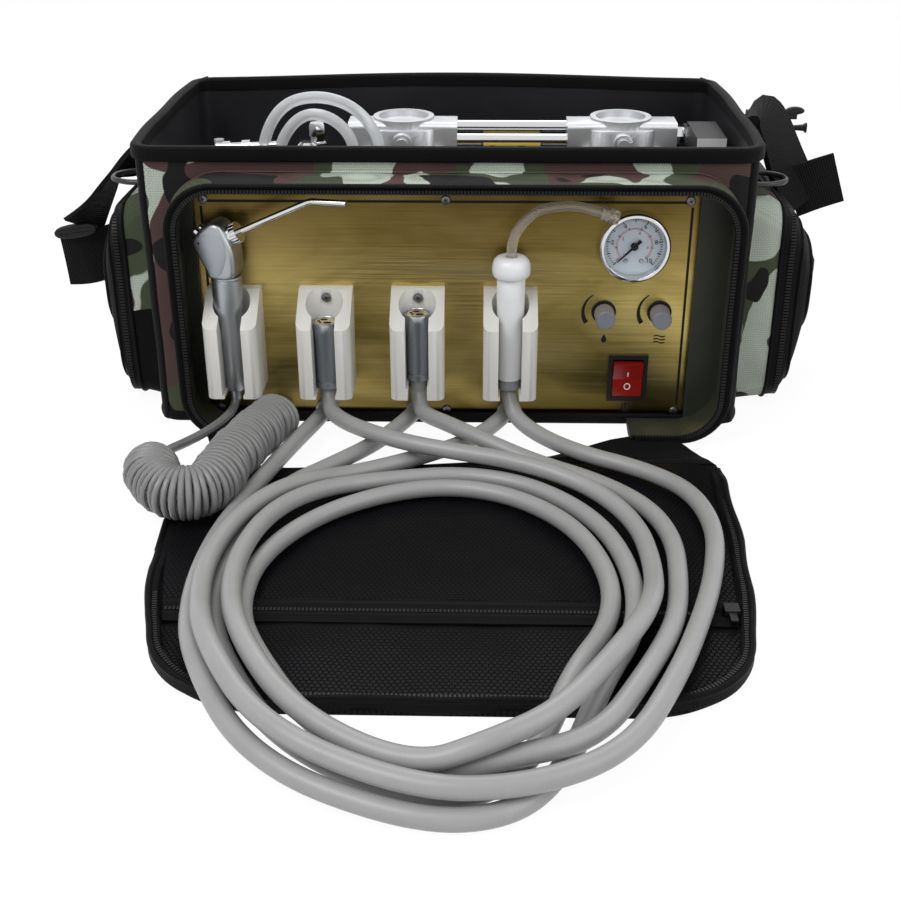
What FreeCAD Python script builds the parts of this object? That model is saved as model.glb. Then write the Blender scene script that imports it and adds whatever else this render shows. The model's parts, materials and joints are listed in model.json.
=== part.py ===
import FreeCAD, Part
import math
import os

# Portable dental unit in a soft carrying bag. Millimetres, +X to the user's right, -Y to the
# user, +Z up. The origin is the middle of the bag's base, on the floor.

V = FreeCAD.Vector
axisX = V(1, 0, 0)
axisY = V(0, 1, 0)
axisZ = V(0, 0, 1)

# Bag
bagWidth = 390.0
bagDepth = 210.0
bagHeight = 186.0
bagCorner = 14.0
clothThickness = 2.5
liningThickness = 1.5
bindingHeight = 10.0
bindingThickness = 1.4
bindingCap = 2.0

# Opening of the front wall, and the gusset with its zipper round it
openingWidth = 320.0
openingTop = 160.0
gussetWidth = 352.0
gussetShift = 6.0
gussetTop = 172.0
gussetDepth = 29.0
gussetThickness = 2.5
gussetCorner = 30.0
zipperThickness = 3.0
zipperOut = 2.0
zipperIn = 4.0
slotLeft = -128.0
slotRight = 121.0
slotTop = 14.0
tabThickness = 1.2
tabLeftWidth = 32.0
tabRightWidth = 44.0

# Front door, hinged at its back edge, with a flap that folds over the bag's top
hingeY = -158.0
hingeZ = 2.0
hingeGap = 0.4
doorSheet = 3.0
doorRimHeight = 10.5
doorRimWidth = 6.0
doorLeft = -162.0
doorRight = 170.0
doorTaper = 10.0
flapLength = 67.5
flapCorner = 50.0
foldGap = 0.6
rimTopClearance = 4.5
pocketThickness = 2.0
pocketInset = 2.0
pocketRise = 0.3
zipBandDepth = 22.0
zipBandRise = 0.9
sliderWidth = 8.0
sliderLength = 11.0
sliderHeight = 3.2
sliderX = 152.6

# Lid, folded back behind the bag
lidThickness = 6.0
lidLength = 182.0
lidGap = 0.5

# Chassis and panel
chassisThickness = 2.0
chassisInset = 6.0
postWidth = 14.0
postReturn = 12.0
railHeight = 12.0
panelThickness = 2.0
panelLap = 4.5
screwHead = 3.0
screwHeadHeight = 1.8
screwShank = 1.5
screwLength = 8.0
screwClearance = 0.1
panelScrewX = 153.0
panelScrewTop = 154.0
panelScrewBottom = 9.0

# Instrument holders
holderX = [-137.0, -77.5, -18.0, 41.5]
holderSeat = [2.0, 2.0, 8.0, 2.0]
holderWidth = 34.5
holderDepth = 34.0
holderBottom = 31.0
holderHeight = 66.0
holderBack = 7.0
holderFrontTop = 48.0
holderRound = 5.0
holderScrewDrop = 6.5
channelOffset = 16.0
channelRadius = 8.4
funnelRadius = 12.0
funnelLow = 37.0
funnelHigh = 51.0
seatRadius = 6.2
slotWidth = 15.0
tailRadius = 5.5
tailEnd = 29.0

# Syringe
syringeX = -139.0
syringeTurn = -12.0
syringeFoot = 24.0
syringeTail = 3.8
syringeStem = 5.6
syringeBarrel = 9.3
syringeTaperStart = 64.0
syringeTaperEnd = 95.0
syringeCollar = 104.0
syringeNeck = 8.2
syringeHeadWidth = 19.0
headRound = 6.0
buttonRadius = 2.8
buttonSpacing = 7.6
buttonLength = 8.0
buttonProud = 3.5
buttonTravel = 2.5
buttonClearance = 0.05
nutRadius = 6.6
nutLength = 9.0
nutDepth = 3.0
nozzleTilt = 25.3
nozzleRadius = 2.0
nozzleStraight = 61.5
nozzleEnd = 23.0
nozzleArc = 12.0
nozzleBore = 1.0

# Handpiece connectors
connectorRadius = 7.6
connectorMouth = 8.3
connectorLength = 46.0
connectorMouthLength = 7.0
sealRadius = 6.4
sealDepth = 2.5
sealThickness = 2.1
sealHole = 1.1
sealHoleCircle = 3.4

# Suction handle
suctionRadius = 9.2
suctionFoot = 7.6
suctionSocket = 6.9
suctionSocketLength = 7.0
suctionLength = 73.0
suctionNeck = 5.0
suctionNeckLength = 6.0
capRadius = 12.0
capHeight = 19.0
ejectorRadius = 3.2
ejectorBoreClearance = 0.2
ejectorInsert = 12.0
ejectorTipRadius = 4.6
ejectorTipLength = 11.0
ejectorTipLap = 5.0

# Pressure gauge
gaugeX = 119.5
gaugeZ = 125.0
gaugeBezel = 22.5
gaugeBody = 20.0
gaugeWindow = 19.6
gaugeProud = 8.0
gaugeDepth = 24.0
gaugeStem = 6.0
gaugeStemLength = 12.0
dialThickness = 1.0
needleLength = 14.5
needleTail = 5.5
needleWidth = 1.2
needleThickness = 0.6
needleHub = 2.4
needlePin = 1.0
pinClearance = 0.05
lensThickness = 1.5
lensInset = 1.0
lensClearance = 0.05

# Water and air knobs on their needle valves
knobX = [102.5, 138.5]
knobZ = 80.0
knobRadius = 6.5
knobLength = 13.0
knobGap = 2.2
knobBore = 9.0
knobFlutes = 20
fluteRadius = 0.55
stemRadius = 2.95
valveFlange = 7.9
valveFlangeThickness = 1.2
valveNeck = 5.0
valveBody = 15.0
valveBodyLength = 24.0

# Mains switch
switchX = 120.5
switchZ = 33.5
switchWidth = 26.0
switchHeight = 33.0
switchLip = 2.2
switchLipWidth = 2.0
switchDepth = 22.0
rockerWidth = 19.4
rockerHeight = 25.0
rockerThickness = 8.0
rockerProud = 3.6
rockerTilt = 9.0
rockerPin = 1.5
rockerWall = 0.9
rockerPocketDepth = 12.0

# Hoses and their glands
hoseRadius = 5.25
glandRadius = 6.8
glandLength = 6.0
glandShank = 4.7
glandShankLength = 10.0
glandX = [-112.0, -81.0, -20.0, 41.0]
glandZ = 11.0
coilRadius = 16.0
leadRadius = 3.0

# Compressor
compressorX = 44.0
compressorY = 52.0
cylinderSpacing = 157.0
mountHeight = 10.0
mountRadius = 9.0
mountSpacingX = 130.0
mountSpacingY = 34.0
trayThickness = 2.5
trayWidth = 166.0
trayDepth = 62.0
motorRadius = 40.0
motorClearance = 4.0
crankLength = 56.0
crankWidth = 50.0
cylinderRadius = 23.0
cylinderTop = 138.0
finRadius = 27.0
finThickness = 2.0
finCount = 5
finPitch = 6.0
headWidth = 58.0
headDepth = 60.0
headThickness = 14.0
headTop = 166.0
capRingRadius = 22.0
capRingHeight = 6.0
capRingWall = 4.0
portRadius = 7.0
portLength = 8.0
portPlug = 4.5
crossoverRadius = 4.6
crossoverPlaces = [(-2.0, -1.5), (-13.0, -8.5)]
crossoverLap = 4.0
shaftRadius = 5.0
shaftClearance = 0.05
fanRadius = 30.0
fanHub = 9.0
fanThickness = 8.0
fanBlades = 6
fanBladeThickness = 2.4
fanGap = 3.0
unionRadius = 5.0
unionLength = 6.5
pressureSwitchWidth = 20.0
pressureSwitchDepth = 50.0
pressureSwitchHeight = 46.0

# Air receiver with its manifold, and the water bottle
tankX = -100.0
tankY = 60.0
tankRadius = 30.0
tankTop = 128.0
tankDome = 10.0
tankNeckRadius = 9.0
manifoldWidth = 79.5
manifoldDepth = 16.0
manifoldHeight = 12.0
manifoldZ = 100.0
manifoldY = 10.0
tubeOuterSpan = 68.0
tubeInnerSpan = 48.0
tubeRadius = 4.0
tubeTop = 187.0
tubeStep = 11.0
barbRadius = 4.6
barbHeight = 10.0
reliefRadius = 8.0
reliefTop = 163.0
bottleX = -162.5
bottleY = 12.0
bottleRadius = 22.0
bottleShoulder = 118.0
bottleNeck = 14.0
bottleTop = 132.0
bottleWall = 1.5
bottleCapHeight = 14.0
bottleNippleTop = 164.0

# Mains inlet at the back
inletX = 140.0
inletZ = 34.0
inletWidth = 28.0
inletHeight = 22.0
inletFlange = 5.0
inletFlangeThickness = 1.4
inletDepth = 26.0
inletSocketWidth = 24.0
inletSocketHeight = 16.5
inletSocketDepth = 16.0
inletPinRadius = 1.3
inletPinLength = 14.0
inletPinPitch = 7.0

# Side pockets and straps
pocketDepth = 156.0
pocketTop = bagHeight - 41.0
pocketBottom = 4.0
pocketBulge = 52.0
pocketWall = 2.5
pocketSlit = 3.0
strapThickness = 4.0
strapWidth = 38.0
strapY = -45.0
ringWire = 2.0
ringBow = 1.8
ringWidth = 30.0
ringDrop = 22.0
ringClearance = 0.1
buckleWidth = 26.0
buckleThickness = 7.0

# Derived places
wallThickness = clothThickness + liningThickness
frontFace = -bagDepth / 2
rearFace = bagDepth / 2
panelFront = frontFace + wallThickness
panelBack = panelFront + panelThickness
floorTop = wallThickness
panelBottom = floorTop + 0.4
panelTop = openingTop + panelLap
openingBottom = floorTop
gussetFront = frontFace - gussetDepth
zipperFront = gussetFront - zipperThickness
gussetBottom = tabThickness + zipperOut
channelY = panelFront - channelOffset
holderTop = holderBottom + holderHeight
seatZ = [holderBottom + rise for rise in holderSeat]
glandFront = panelFront - glandLength
foldY = hingeY - (bagHeight + bindingCap + rimTopClearance - hingeZ)
doorFront = foldY - flapLength
binding = bagHeight + bindingCap

# Routes of the free hoses: handpiece 1, handpiece 2 and suction, from the gland to the handle.
handpieceRoute1 = [
    (-81, -107, 11), (-84, -120, 11), (-93, -150, 12), (-105, -190, 12), (-116, -232, 12),
    (-126, -282, 12), (-127, -338, 12), (-114, -398, 20), (-76, -462, 12), (-5, -491, 6),
    (38, -487, 6), (62, -457, 7), (80, -412, 19), (101, -364, 13), (105, -310, 12),
    (92, -256, 12), (57, -214, 12), (14, -199, 12), (-35, -209, 13), (-76, -235, 20),
    (-99, -274, 23), (-107, -328, 22), (-93, -391, 30), (-58, -444, 23), (-5, -472, 18),
    (28, -468, 29.5), (58, -449, 31), (86, -406, 31), (109, -356, 24), (116, -308, 14),
    (112, -258, 14), (86, -221, 18), (44, -202, 23), (5, -192, 24), (-28, -181, 25),
    (-56, -160, 24), (-70, -138, 20), (-77, -124, 20), (-77.5, -117, 29.5),
]
handpieceRoute2 = [
    (-20, -107, 11), (-25, -120, 11), (-43, -156, 11), (-68, -188, 12), (-92, -214, 12),
    (-107, -250, 12), (-114, -294, 12), (-114, -342, 12), (-101, -394, 20), (-66, -449, 12),
    (-5, -478, 6), (28, -474, 6), (50, -448, 9), (67, -404, 19), (88, -358, 12),
    (93, -315, 12), (79, -264, 12), (47, -228, 12), (6, -214, 12), (-36, -225, 12),
    (-74, -254, 12), (-98, -298, 12), (-100, -344, 12), (-87, -388, 20), (-54, -438, 13.2),
    (-5, -466, 6), (35, -467, 20), (75, -452, 19), (100, -408, 20), (120, -362, 16),
    (128, -318, 12), (131, -274, 12), (121, -238, 12), (95, -208, 12), (58, -190, 15),
    (26, -172, 21), (2, -152, 23), (-11, -135, 20), (-17, -124, 20), (-18, -117, 29.5),
]
suctionRoute = [
    (41, -107, 11), (37, -120, 11), (17, -150, 10), (-15, -178, 12), (-54, -200, 12),
    (-87, -227, 21), (-109, -262, 23), (-120, -302, 22), (-120, -342, 22), (-108, -395, 30),
    (-72, -453, 23), (-5, -484, 17.5), (44, -482, 17.5), (88, -459, 18), (115, -408, 20),
    (134, -355, 15), (148, -308, 12), (156, -260, 12), (148, -217, 12), (122, -191, 12),
    (88, -172, 12), (65, -151, 12), (50, -135, 15), (43, -124, 20), (41.5, -117, 29.5),
]
coilRoute = [
    (-109, -128, 17.5), (-114, -147, 20), (-121, -172, 22), (-128.5, -205, 23.5),
    (-138, -238, 24), (-159, -243, 24), (-174, -226, 24), (-173, -206, 23.5),
]
leadRoute = [
    (-173, -206, 23.5), (-171, -190, 21), (-163, -168, 16), (-152, -148, 15),
    (-143, -129, 16), (-139.5, -119, 20), (-139, -117, 24.5),
]
glandLeadRoute = [(-112, -107, 11), (-111, -118, 12.5), (-109, -128, 17.5)]
ejectorRoute = [
    (0, 0, 0), (0, 0, 24), (14.5, -1, 41), (38.5, -2, 44), (59.5, -3, 38),
]


def box(x0, x1, y0, y1, z0, z1):
    return Part.makeBox(x1 - x0, y1 - y0, z1 - z0, V(x0, y0, z0))


def rod(start, direction, radius, length):
    return Part.makeCylinder(radius, length, start, direction)


def prism(points, sweep):
    corners = [V(*p) for p in points]
    return Part.Face(Part.makePolygon(corners + corners[:1])).extrude(sweep)


def turned(profile, centre, direction):
    """Solid of revolution from (radius, height) points about an axis through centre."""
    corners = [V(r, 0, h) for r, h in profile]
    face = Part.Face(Part.makePolygon(corners + corners[:1]))
    solid = face.revolve(V(0, 0, 0), axisZ, 360)
    solid.Placement = FreeCAD.Placement(centre, FreeCAD.Rotation(axisZ, direction))
    return solid


def roundedPrism(x0, x1, y0, y1, z0, z1, radius):
    solid = box(x0, x1, y0, y1, z0, z1)
    upright = [e for e in solid.Edges if abs(e.Vertexes[0].X - e.Vertexes[1].X) < 1e-6
               and abs(e.Vertexes[0].Y - e.Vertexes[1].Y) < 1e-6]
    return solid.makeFillet(radius, upright)


def filletNear(solid, radius, chosen):
    """Fillets the straight edges whose two ends satisfy the test."""
    edges = [e for e in solid.Edges if len(e.Vertexes) == 2
             and chosen(e.Vertexes[0].Point) and chosen(e.Vertexes[1].Point)]
    return solid.makeFillet(radius, edges)


def group(solids):
    return Part.makeCompound(solids)


def routeWire(route, offset=V(0, 0, 0), radius=None):
    """Straight runs joined by tangent arcs. Without a radius, each arc is as large as its
    two runs allow. Gives the wire and the radii."""
    points = [V(*p) + offset for p in route]
    edges = []
    radii = []
    last = points[0]
    for before, corner, after in zip(points, points[1:], points[2:]):
        incoming = corner - before
        outgoing = after - corner
        turn = incoming.getAngle(outgoing)
        if radius is None:
            cut = 0.45 * min(incoming.Length, outgoing.Length)
        else:
            cut = radius * math.tan(turn / 2)
        bend = cut / math.tan(turn / 2)
        radii.append(bend)
        inward = V(incoming).normalize()
        onward = V(outgoing).normalize()
        start = corner - inward * cut
        end = corner + onward * cut
        middle = corner + (onward - inward).normalize() * (bend / math.cos(turn / 2) - bend)
        edges.append(Part.LineSegment(last, start).toShape())
        edges.append(Part.Arc(start, middle, end).toShape())
        last = end
    edges.append(Part.LineSegment(last, points[-1]).toShape())
    return Part.Wire(edges), radii


def tube(route, tubeRadius, offset=V(0, 0, 0), bendRadius=None):
    wire, radii = routeWire(route, offset, bendRadius)
    start = wire.Edges[0].valueAt(wire.Edges[0].FirstParameter)
    onward = wire.Edges[0].tangentAt(wire.Edges[0].FirstParameter)
    ring = Part.Wire(Part.Circle(start, onward, tubeRadius).toShape())
    solid = wire.makePipeShell([ring], True, True)
    return solid, wire.Length, radii


def hose(name, route, radius, trims=()):
    """A free hose, with its radii and its volume printed beside section times length. Its
    ends are cut flush with the fittings that they meet."""
    solid, length, radii = tube(route, radius)
    for trim in trims:
        solid = solid.cut(trim)
    expected = math.pi * radius ** 2 * length
    print(name, "length", round(length), "least radius", round(min(radii), 1),
          "volume ratio", round(solid.Volume / expected, 4))
    print("  radii", [round(r) for r in radii])
    return solid


# Bag

def bagPrism(inset, z0, z1):
    return roundedPrism(-bagWidth / 2 + inset, bagWidth / 2 - inset, frontFace + inset,
                        rearFace - inset, z0, z1, bagCorner - inset)


def frontOpening():
    return box(-openingWidth / 2, openingWidth / 2, frontFace - 1, panelFront + 1,
               openingBottom, openingTop)


def inletCut(clearance):
    return box(inletX - inletWidth / 2 - clearance, inletX + inletWidth / 2 + clearance,
               rearFace - wallThickness - 1, rearFace + 1,
               inletZ - inletHeight / 2 - clearance, inletZ + inletHeight / 2 + clearance)


def bagShell():
    shell = bagPrism(0, 0, bagHeight).cut(bagPrism(clothThickness, clothThickness, bagHeight + 1))
    return shell.cut(frontOpening()).cut(inletCut(0))


def bagLining():
    outer = bagPrism(clothThickness, clothThickness, bagHeight)
    inner = bagPrism(wallThickness, wallThickness, bagHeight + 1)
    return outer.cut(inner).cut(frontOpening()).cut(inletCut(0))


def rimBinding():
    lowest = bagHeight - bindingHeight
    band = bagPrism(-bindingThickness, lowest, bagHeight + bindingCap)
    band = band.cut(bagPrism(0, lowest - 1, bagHeight))
    return band.cut(bagPrism(wallThickness, lowest - 1, bagHeight + bindingCap + 1))


def gussetPrism(offset, y0, y1):
    """Rounded rectangle in the front plane, extruded towards the back."""
    left = gussetShift - gussetWidth / 2 - offset
    right = gussetShift + gussetWidth / 2 + offset
    low = gussetBottom - offset
    high = gussetTop + offset
    solid = box(left, right, y0, y1, low, high)
    along = [e for e in solid.Edges if abs(e.Vertexes[0].Y - e.Vertexes[1].Y) > 1]
    return solid.makeFillet(gussetCorner + offset, along)


def frontGusset():
    """Fabric ring round the front, its zipper flange, and the two tabs that carry the door."""
    ring = gussetPrism(0, gussetFront, frontFace)
    ring = ring.cut(gussetPrism(-gussetThickness, gussetFront - 1, frontFace + 1))
    flange = gussetPrism(zipperOut, zipperFront, gussetFront)
    flange = flange.cut(gussetPrism(-zipperIn, zipperFront - 1, gussetFront + 1))
    slot = box(slotLeft, slotRight, zipperFront - 1, frontFace + 1, -1, slotTop)
    solids = [ring.cut(slot), flange.cut(slot)]
    tabEnd = hingeY + hingeGap
    for x0, x1 in ((slotLeft - tabLeftWidth, slotLeft), (slotRight, slotRight + tabRightWidth)):
        solids.append(box(x0, x1, tabEnd, gussetFront, 0, tabThickness))
    return group(solids)


# Door, flap and lid

def trayOutline(inset):
    """Outline of the door and its flap lying open. Its back left corner is cut off, and its
    sides close in a little towards the front."""
    left = doorLeft + inset
    right = doorRight - inset
    back = hingeY - hingeGap - inset
    front = doorFront + inset
    shoulder = (slotLeft - 8 + inset * 0.4, back)
    points = [shoulder, (left, back - 84), (left + doorTaper, front), (right - doorTaper, front),
              (right, back)]
    return points


def uprightOnly(solid, radius, near):
    """Fillets the upright edges that pass the test on their place in plan."""
    edges = [e for e in solid.Edges if len(e.Vertexes) == 2
             and abs(e.Vertexes[0].Z - e.Vertexes[1].Z) > 0.5 and near(e.Vertexes[0].Point)
             and near(e.Vertexes[1].Point)]
    return solid.makeFillet(radius, edges)


def tray(inset, z0, z1):
    solid = prism([(x, y, z0) for x, y in trayOutline(inset)], V(0, 0, z1 - z0))
    front = doorFront + inset
    return uprightOnly(solid, flapCorner - inset, lambda p: abs(p.y - front) < 1e-3)


def wholeTray():
    """Flat sheet with a raised rim on its sides and front, not beside the hinge."""
    rim = tray(0, 0, doorRimHeight).cut(tray(doorRimWidth, doorSheet, doorRimHeight + 1))
    nearHinge = box(doorLeft - 1, doorRight + 1, hingeY - 128, hingeY + 1,
                    doorSheet, doorRimHeight + 1)
    keepRight = box(doorRight - doorRimWidth - 4, doorRight + 1, hingeY - 129, hingeY - 20,
                    doorSheet - 1, doorRimHeight + 2)
    return rim.cut(nearHinge.cut(keepRight))


def doorSpan():
    return box(-bagWidth, bagWidth, foldY + foldGap / 2, 0, -1, 50)


def flapSpan():
    return box(-bagWidth, bagWidth, -2 * bagWidth, foldY - foldGap / 2, -1, 50)


def doorPocket():
    """Mesh pocket sheet on the door's inside, with its zipper band next to the fold."""
    inset = doorRimWidth + pocketInset
    low = doorSheet + pocketRise
    sheet = tray(inset, low, low + pocketThickness)
    sheet = sheet.common(box(-bagWidth, bagWidth, foldY + foldGap / 2 + 1, 0, 0, 50))
    band = tray(inset, low + pocketThickness, low + pocketThickness + zipBandRise)
    start = foldY + foldGap / 2 + 1
    band = band.common(box(-bagWidth, bagWidth, start, start + zipBandDepth, 0, 50))
    return group([sheet, band])


def zipSlider():
    """Slider of the pocket zipper with its pull lying flat on the band."""
    low = doorSheet + pocketRise + pocketThickness + zipBandRise + 0.1
    middle = foldY + foldGap / 2 + 1 + zipBandDepth / 2
    body = box(sliderX - sliderWidth / 2, sliderX + sliderWidth / 2, middle - sliderWidth / 2,
               middle + sliderWidth / 2, low, low + sliderHeight)
    pull = box(sliderX - sliderWidth / 4, sliderX + sliderWidth / 4, middle - sliderLength,
               middle - sliderWidth / 2 + 1, low + 0.6, low + 2.2)
    return body.fuse(pull)


def topLid():
    back = rearFace + bindingThickness + lidGap
    lid = box(-bagWidth / 2, bagWidth / 2, back, back + lidThickness,
              binding + lidGap - lidLength, binding + lidGap)
    across = [e for e in lid.Edges if abs(e.Vertexes[0].Y - e.Vertexes[1].Y) > 1
              and e.Vertexes[0].Z < 100]
    return lid.makeFillet(bagCorner, across)


# Chassis, panel and screws

def panelScrewPlaces():
    return [(x, z) for z in (panelScrewTop, panelScrewBottom)
            for x in (-panelScrewX, 0, panelScrewX)]


def holderScrewPlaces():
    return [(x, holderTop - holderScrewDrop) for x in holderX]


def glandTrim(route):
    """Space taken by the gland's end, for a hose that starts there."""
    x, y, z = route[0]
    return box(x - 9, x + 9, glandFront, glandFront + 5, z - 9, z + 9)


def tailTrim(route, height):
    """Space above the instrument's end, for a hose that stops there."""
    x, y, z = route[-1]
    return box(x - 9, x + 9, y - 9, y + 9, height, height + 12)


def glandPlaces():
    return glandX


def along(x, z, radius, y0, y1):
    """Round bar in the Y direction."""
    return rod(V(x, y0, z), axisY, radius, y1 - y0)


def chassis():
    """Folded steel tray with two posts and a rail that the panel is screwed to."""
    reach = bagWidth / 2 - wallThickness - chassisInset
    depth = rearFace - wallThickness - chassisInset
    thick = chassisThickness
    base = box(-reach, reach, panelBack, depth, floorTop, floorTop + thick)
    lip = box(-reach, reach, panelBack, panelBack + thick, floorTop, panelScrewBottom + 9)
    outer = panelTop
    solid = base.fuse(lip)
    for side in (-1, 1):
        edge = side * (panelScrewX + postWidth / 2)
        inner = edge - side * postWidth
        low, high = sorted((edge, inner))
        solid = solid.fuse(box(low, high, panelBack, panelBack + thick, floorTop, outer))
        low, high = sorted((edge, edge - side * thick))
        solid = solid.fuse(box(low, high, panelBack, panelBack + postReturn, floorTop, outer))
    solid = solid.fuse(box(-panelScrewX, panelScrewX, panelBack, panelBack + thick,
                           outer - railHeight - 4, outer))
    for x, z in panelScrewPlaces():
        solid = solid.cut(along(x, z, screwShank + screwClearance, panelBack - 1, panelBack + 9))
    for x in glandPlaces():
        solid = solid.cut(along(x, glandZ, glandShank + 1, panelBack - 1, panelBack + thick + 1))
    return solid.removeSplitter()


def frontPanel():
    half = openingWidth / 2 + panelLap
    plate = box(-half, half, panelFront, panelBack, panelBottom, panelTop)
    for x, z in panelScrewPlaces() + holderScrewPlaces():
        plate = plate.cut(along(x, z, screwShank + screwClearance, panelFront - 1, panelBack + 1))
    for x in glandPlaces():
        plate = plate.cut(along(x, glandZ, glandShank + 0.1, panelFront - 1, panelBack + 1))
    for x in knobX:
        plate = plate.cut(along(x, knobZ, valveNeck + 0.1, panelFront - 1, panelBack + 1))
    plate = plate.cut(along(gaugeX, gaugeZ, gaugeBody + 0.1, panelFront - 1, panelBack + 1))
    wide = switchWidth / 2 - switchLipWidth + 0.1
    high = switchHeight / 2 - switchLipWidth + 0.1
    return plate.cut(box(switchX - wide, switchX + wide, panelFront - 1, panelBack + 1,
                         switchZ - high, switchZ + high))


def holderPlate():
    """Depth of the holder's back wall behind the channel, where its screw's head sits."""
    return channelOffset - funnelRadius


def screw(x, z, face):
    """Pan head screw pointing to the back, its head on the given face."""
    dome = [(0, -screwLength), (screwShank, -screwLength), (screwShank, 0), (screwHead, 0),
            (screwHead, screwHeadHeight * 0.45), (screwHead * 0.7, screwHeadHeight * 0.9),
            (0, screwHeadHeight)]
    solid = turned(dome, V(x, face, z), -axisY)
    for wide, high in ((screwHead * 0.6, 0.3), (0.3, screwHead * 0.6)):
        solid = solid.cut(box(x - wide, x + wide, face - screwHeadHeight - 1,
                              face - screwHeadHeight * 0.45, z - high, z + high))
    return solid


def panelScrews():
    onPanel = [screw(x, z, panelFront) for x, z in panelScrewPlaces()]
    onHolders = [screw(x, z, panelFront - holderPlate()) for x, z in holderScrewPlaces()]
    return group(onPanel + onHolders)


# Holders and instruments

def holder(k):
    """Moulded holder: block with a slanted top and a stepped channel open to the front. The
    channel has a funnel above and a ledge below, on which the instrument rests."""
    x = holderX[k]
    low = holderBottom
    side = [(0, low), (holderDepth, low), (holderDepth, low + holderFrontTop),
            (holderBack, holderTop), (0, holderTop)]
    left = x - holderWidth / 2
    solid = prism([(left, panelFront - d, z) for d, z in side], V(holderWidth, 0, 0))
    front = panelFront - holderDepth
    for edge in (left, left + holderWidth):
        solid = filletNear(solid, holderRound, lambda p: abs(p.y - front) < 1e-3
                           and abs(p.x - edge) < 1e-3)
    funnel = [(0, low - 1), (seatRadius, low - 1), (seatRadius, seatZ[k]),
              (channelRadius, seatZ[k]), (channelRadius, low + funnelLow),
              (funnelRadius, low + funnelHigh), (funnelRadius, holderTop + 1), (0, holderTop + 1)]
    solid = solid.cut(turned(funnel, V(x, channelY, 0), axisZ))
    solid = solid.cut(box(x - slotWidth / 2, x + slotWidth / 2, front - 1, channelY, seatZ[k],
                          holderTop))
    solid = solid.cut(box(x - seatRadius, x + seatRadius, front - 1, channelY, low - 1,
                          seatZ[k] + 1))
    screwZ = holderScrewPlaces()[0][1]
    front = panelFront - holderDepth
    solid = solid.cut(along(x, screwZ, screwHead + screwClearance, front,
                            panelFront - holderPlate()))
    return solid.cut(along(x, screwZ, screwShank + screwClearance, front, panelFront + 1))


def instrument(k, profile):
    """Turned body standing on the ledge of a holder, with its hose tail below."""
    foot = [(0, tailEnd), (tailRadius, tailEnd), (tailRadius, seatZ[k])]
    return turned(foot + profile, V(holderX[k], channelY, 0), axisZ)


def syringePlace(x, y, z):
    """From the syringe's own frame, with its nozzle along +X, to the unit's frame."""
    turn = FreeCAD.Rotation(axisZ, syringeTurn)
    return V(syringeX, channelY, 0) + turn.multVec(V(x, y, z))


def placeSyringe(solid):
    solid.rotate(V(0, 0, 0), axisZ, syringeTurn)
    solid.translate(V(syringeX, channelY, 0))
    return solid


def nozzleDirection():
    return V(math.cos(math.radians(nozzleTilt)), 0, math.sin(math.radians(nozzleTilt)))


def nutFace():
    """Middle of the head's slanted right face, in the syringe's frame."""
    return V(5.6, 0, 136)


def nutStart():
    return nutFace() - nozzleDirection() * nutDepth


def buttonDirection():
    return V(-0.8, 0, 0.6)


def buttonFace():
    """Middle of the slanted face that carries the buttons, in the syringe's frame."""
    return V(-14.9, 0, 136.6)


def syringeHead():
    """Trigger shaped head, rounded in plan, with its neck running into the collar."""
    up = nozzleDirection()
    across = V(-up.z, 0, up.x)
    rightLow = nutFace() - across * 8.2
    rightHigh = nutFace() + across * 8.2
    slope = V(0.6, 0, 0.8)
    leftLow = buttonFace() - slope * 4.6
    leftHigh = buttonFace() + slope * 4.6
    outline = [(-syringeNeck, syringeCollar), (-syringeNeck - 0.6, syringeCollar + 8),
               (-17, 128.6), (leftLow.x, leftLow.z), (leftHigh.x, leftHigh.z), (-1.5, 145.2),
               (rightHigh.x, rightHigh.z), (rightLow.x, rightLow.z),
               (syringeNeck + 0.3, syringeCollar + 10), (syringeNeck, syringeCollar)]
    half = syringeHeadWidth / 2
    head = prism([(x, -half, z) for x, z in outline], V(0, syringeHeadWidth, 0))
    plan = roundedPrism(-19, 15, -half, half, syringeCollar, 150, headRound)
    return head.common(plan)


def syringeBody():
    profile = [(0, syringeFoot), (syringeTail, syringeFoot), (syringeTail + 0.3, seatZ[0]),
               (syringeStem, seatZ[0]), (syringeStem + 0.2, syringeTaperStart),
               (syringeBarrel, syringeTaperEnd), (syringeBarrel, syringeCollar - 4),
               (syringeBarrel + 0.4, syringeCollar - 3.6), (syringeBarrel + 0.4, syringeCollar),
               (syringeNeck, syringeCollar + 0.5), (syringeNeck, syringeCollar + 12),
               (0, syringeCollar + 12)]
    solid = turned(profile, V(0, 0, 0), axisZ).fuse(syringeHead())
    bore = buttonLength - buttonProud + buttonTravel + 0.5
    for y in (-buttonSpacing / 2, buttonSpacing / 2):
        end = buttonFace() - buttonDirection() * bore + V(0, y, 0)
        solid = solid.cut(rod(end, buttonDirection(), buttonRadius + buttonClearance, bore + 9))
    solid = solid.cut(rod(nutStart(), nozzleDirection(), nutRadius + 0.02, nutLength + 10))
    return placeSyringe(solid.removeSplitter())


def syringeButton(y):
    profile = [(0, 0), (buttonRadius, 0), (buttonRadius, buttonLength - 0.8),
               (buttonRadius - 0.8, buttonLength), (0, buttonLength)]
    start = buttonFace() - buttonDirection() * (buttonLength - buttonProud) + V(0, y, 0)
    return placeSyringe(turned(profile, start, buttonDirection()))


def nozzleNut():
    """Nut that holds the nozzle, with a knurled collar outside the head."""
    direction = nozzleDirection()
    nut = rod(nutStart(), direction, nutRadius, nutLength)
    for k in range(16):
        angle = math.radians(k * 22.5)
        sideways = V(-direction.z, 0, direction.x) * math.cos(angle) + axisY * math.sin(angle)
        start = nutStart() + sideways * (nutRadius + 0.1) + direction * (nutLength - 4)
        nut = nut.cut(rod(start, direction, 0.5, 6))
    return placeSyringe(nut.cut(rod(nutStart(), direction, nozzleRadius + buttonClearance,
                                    nutLength)))


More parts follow.
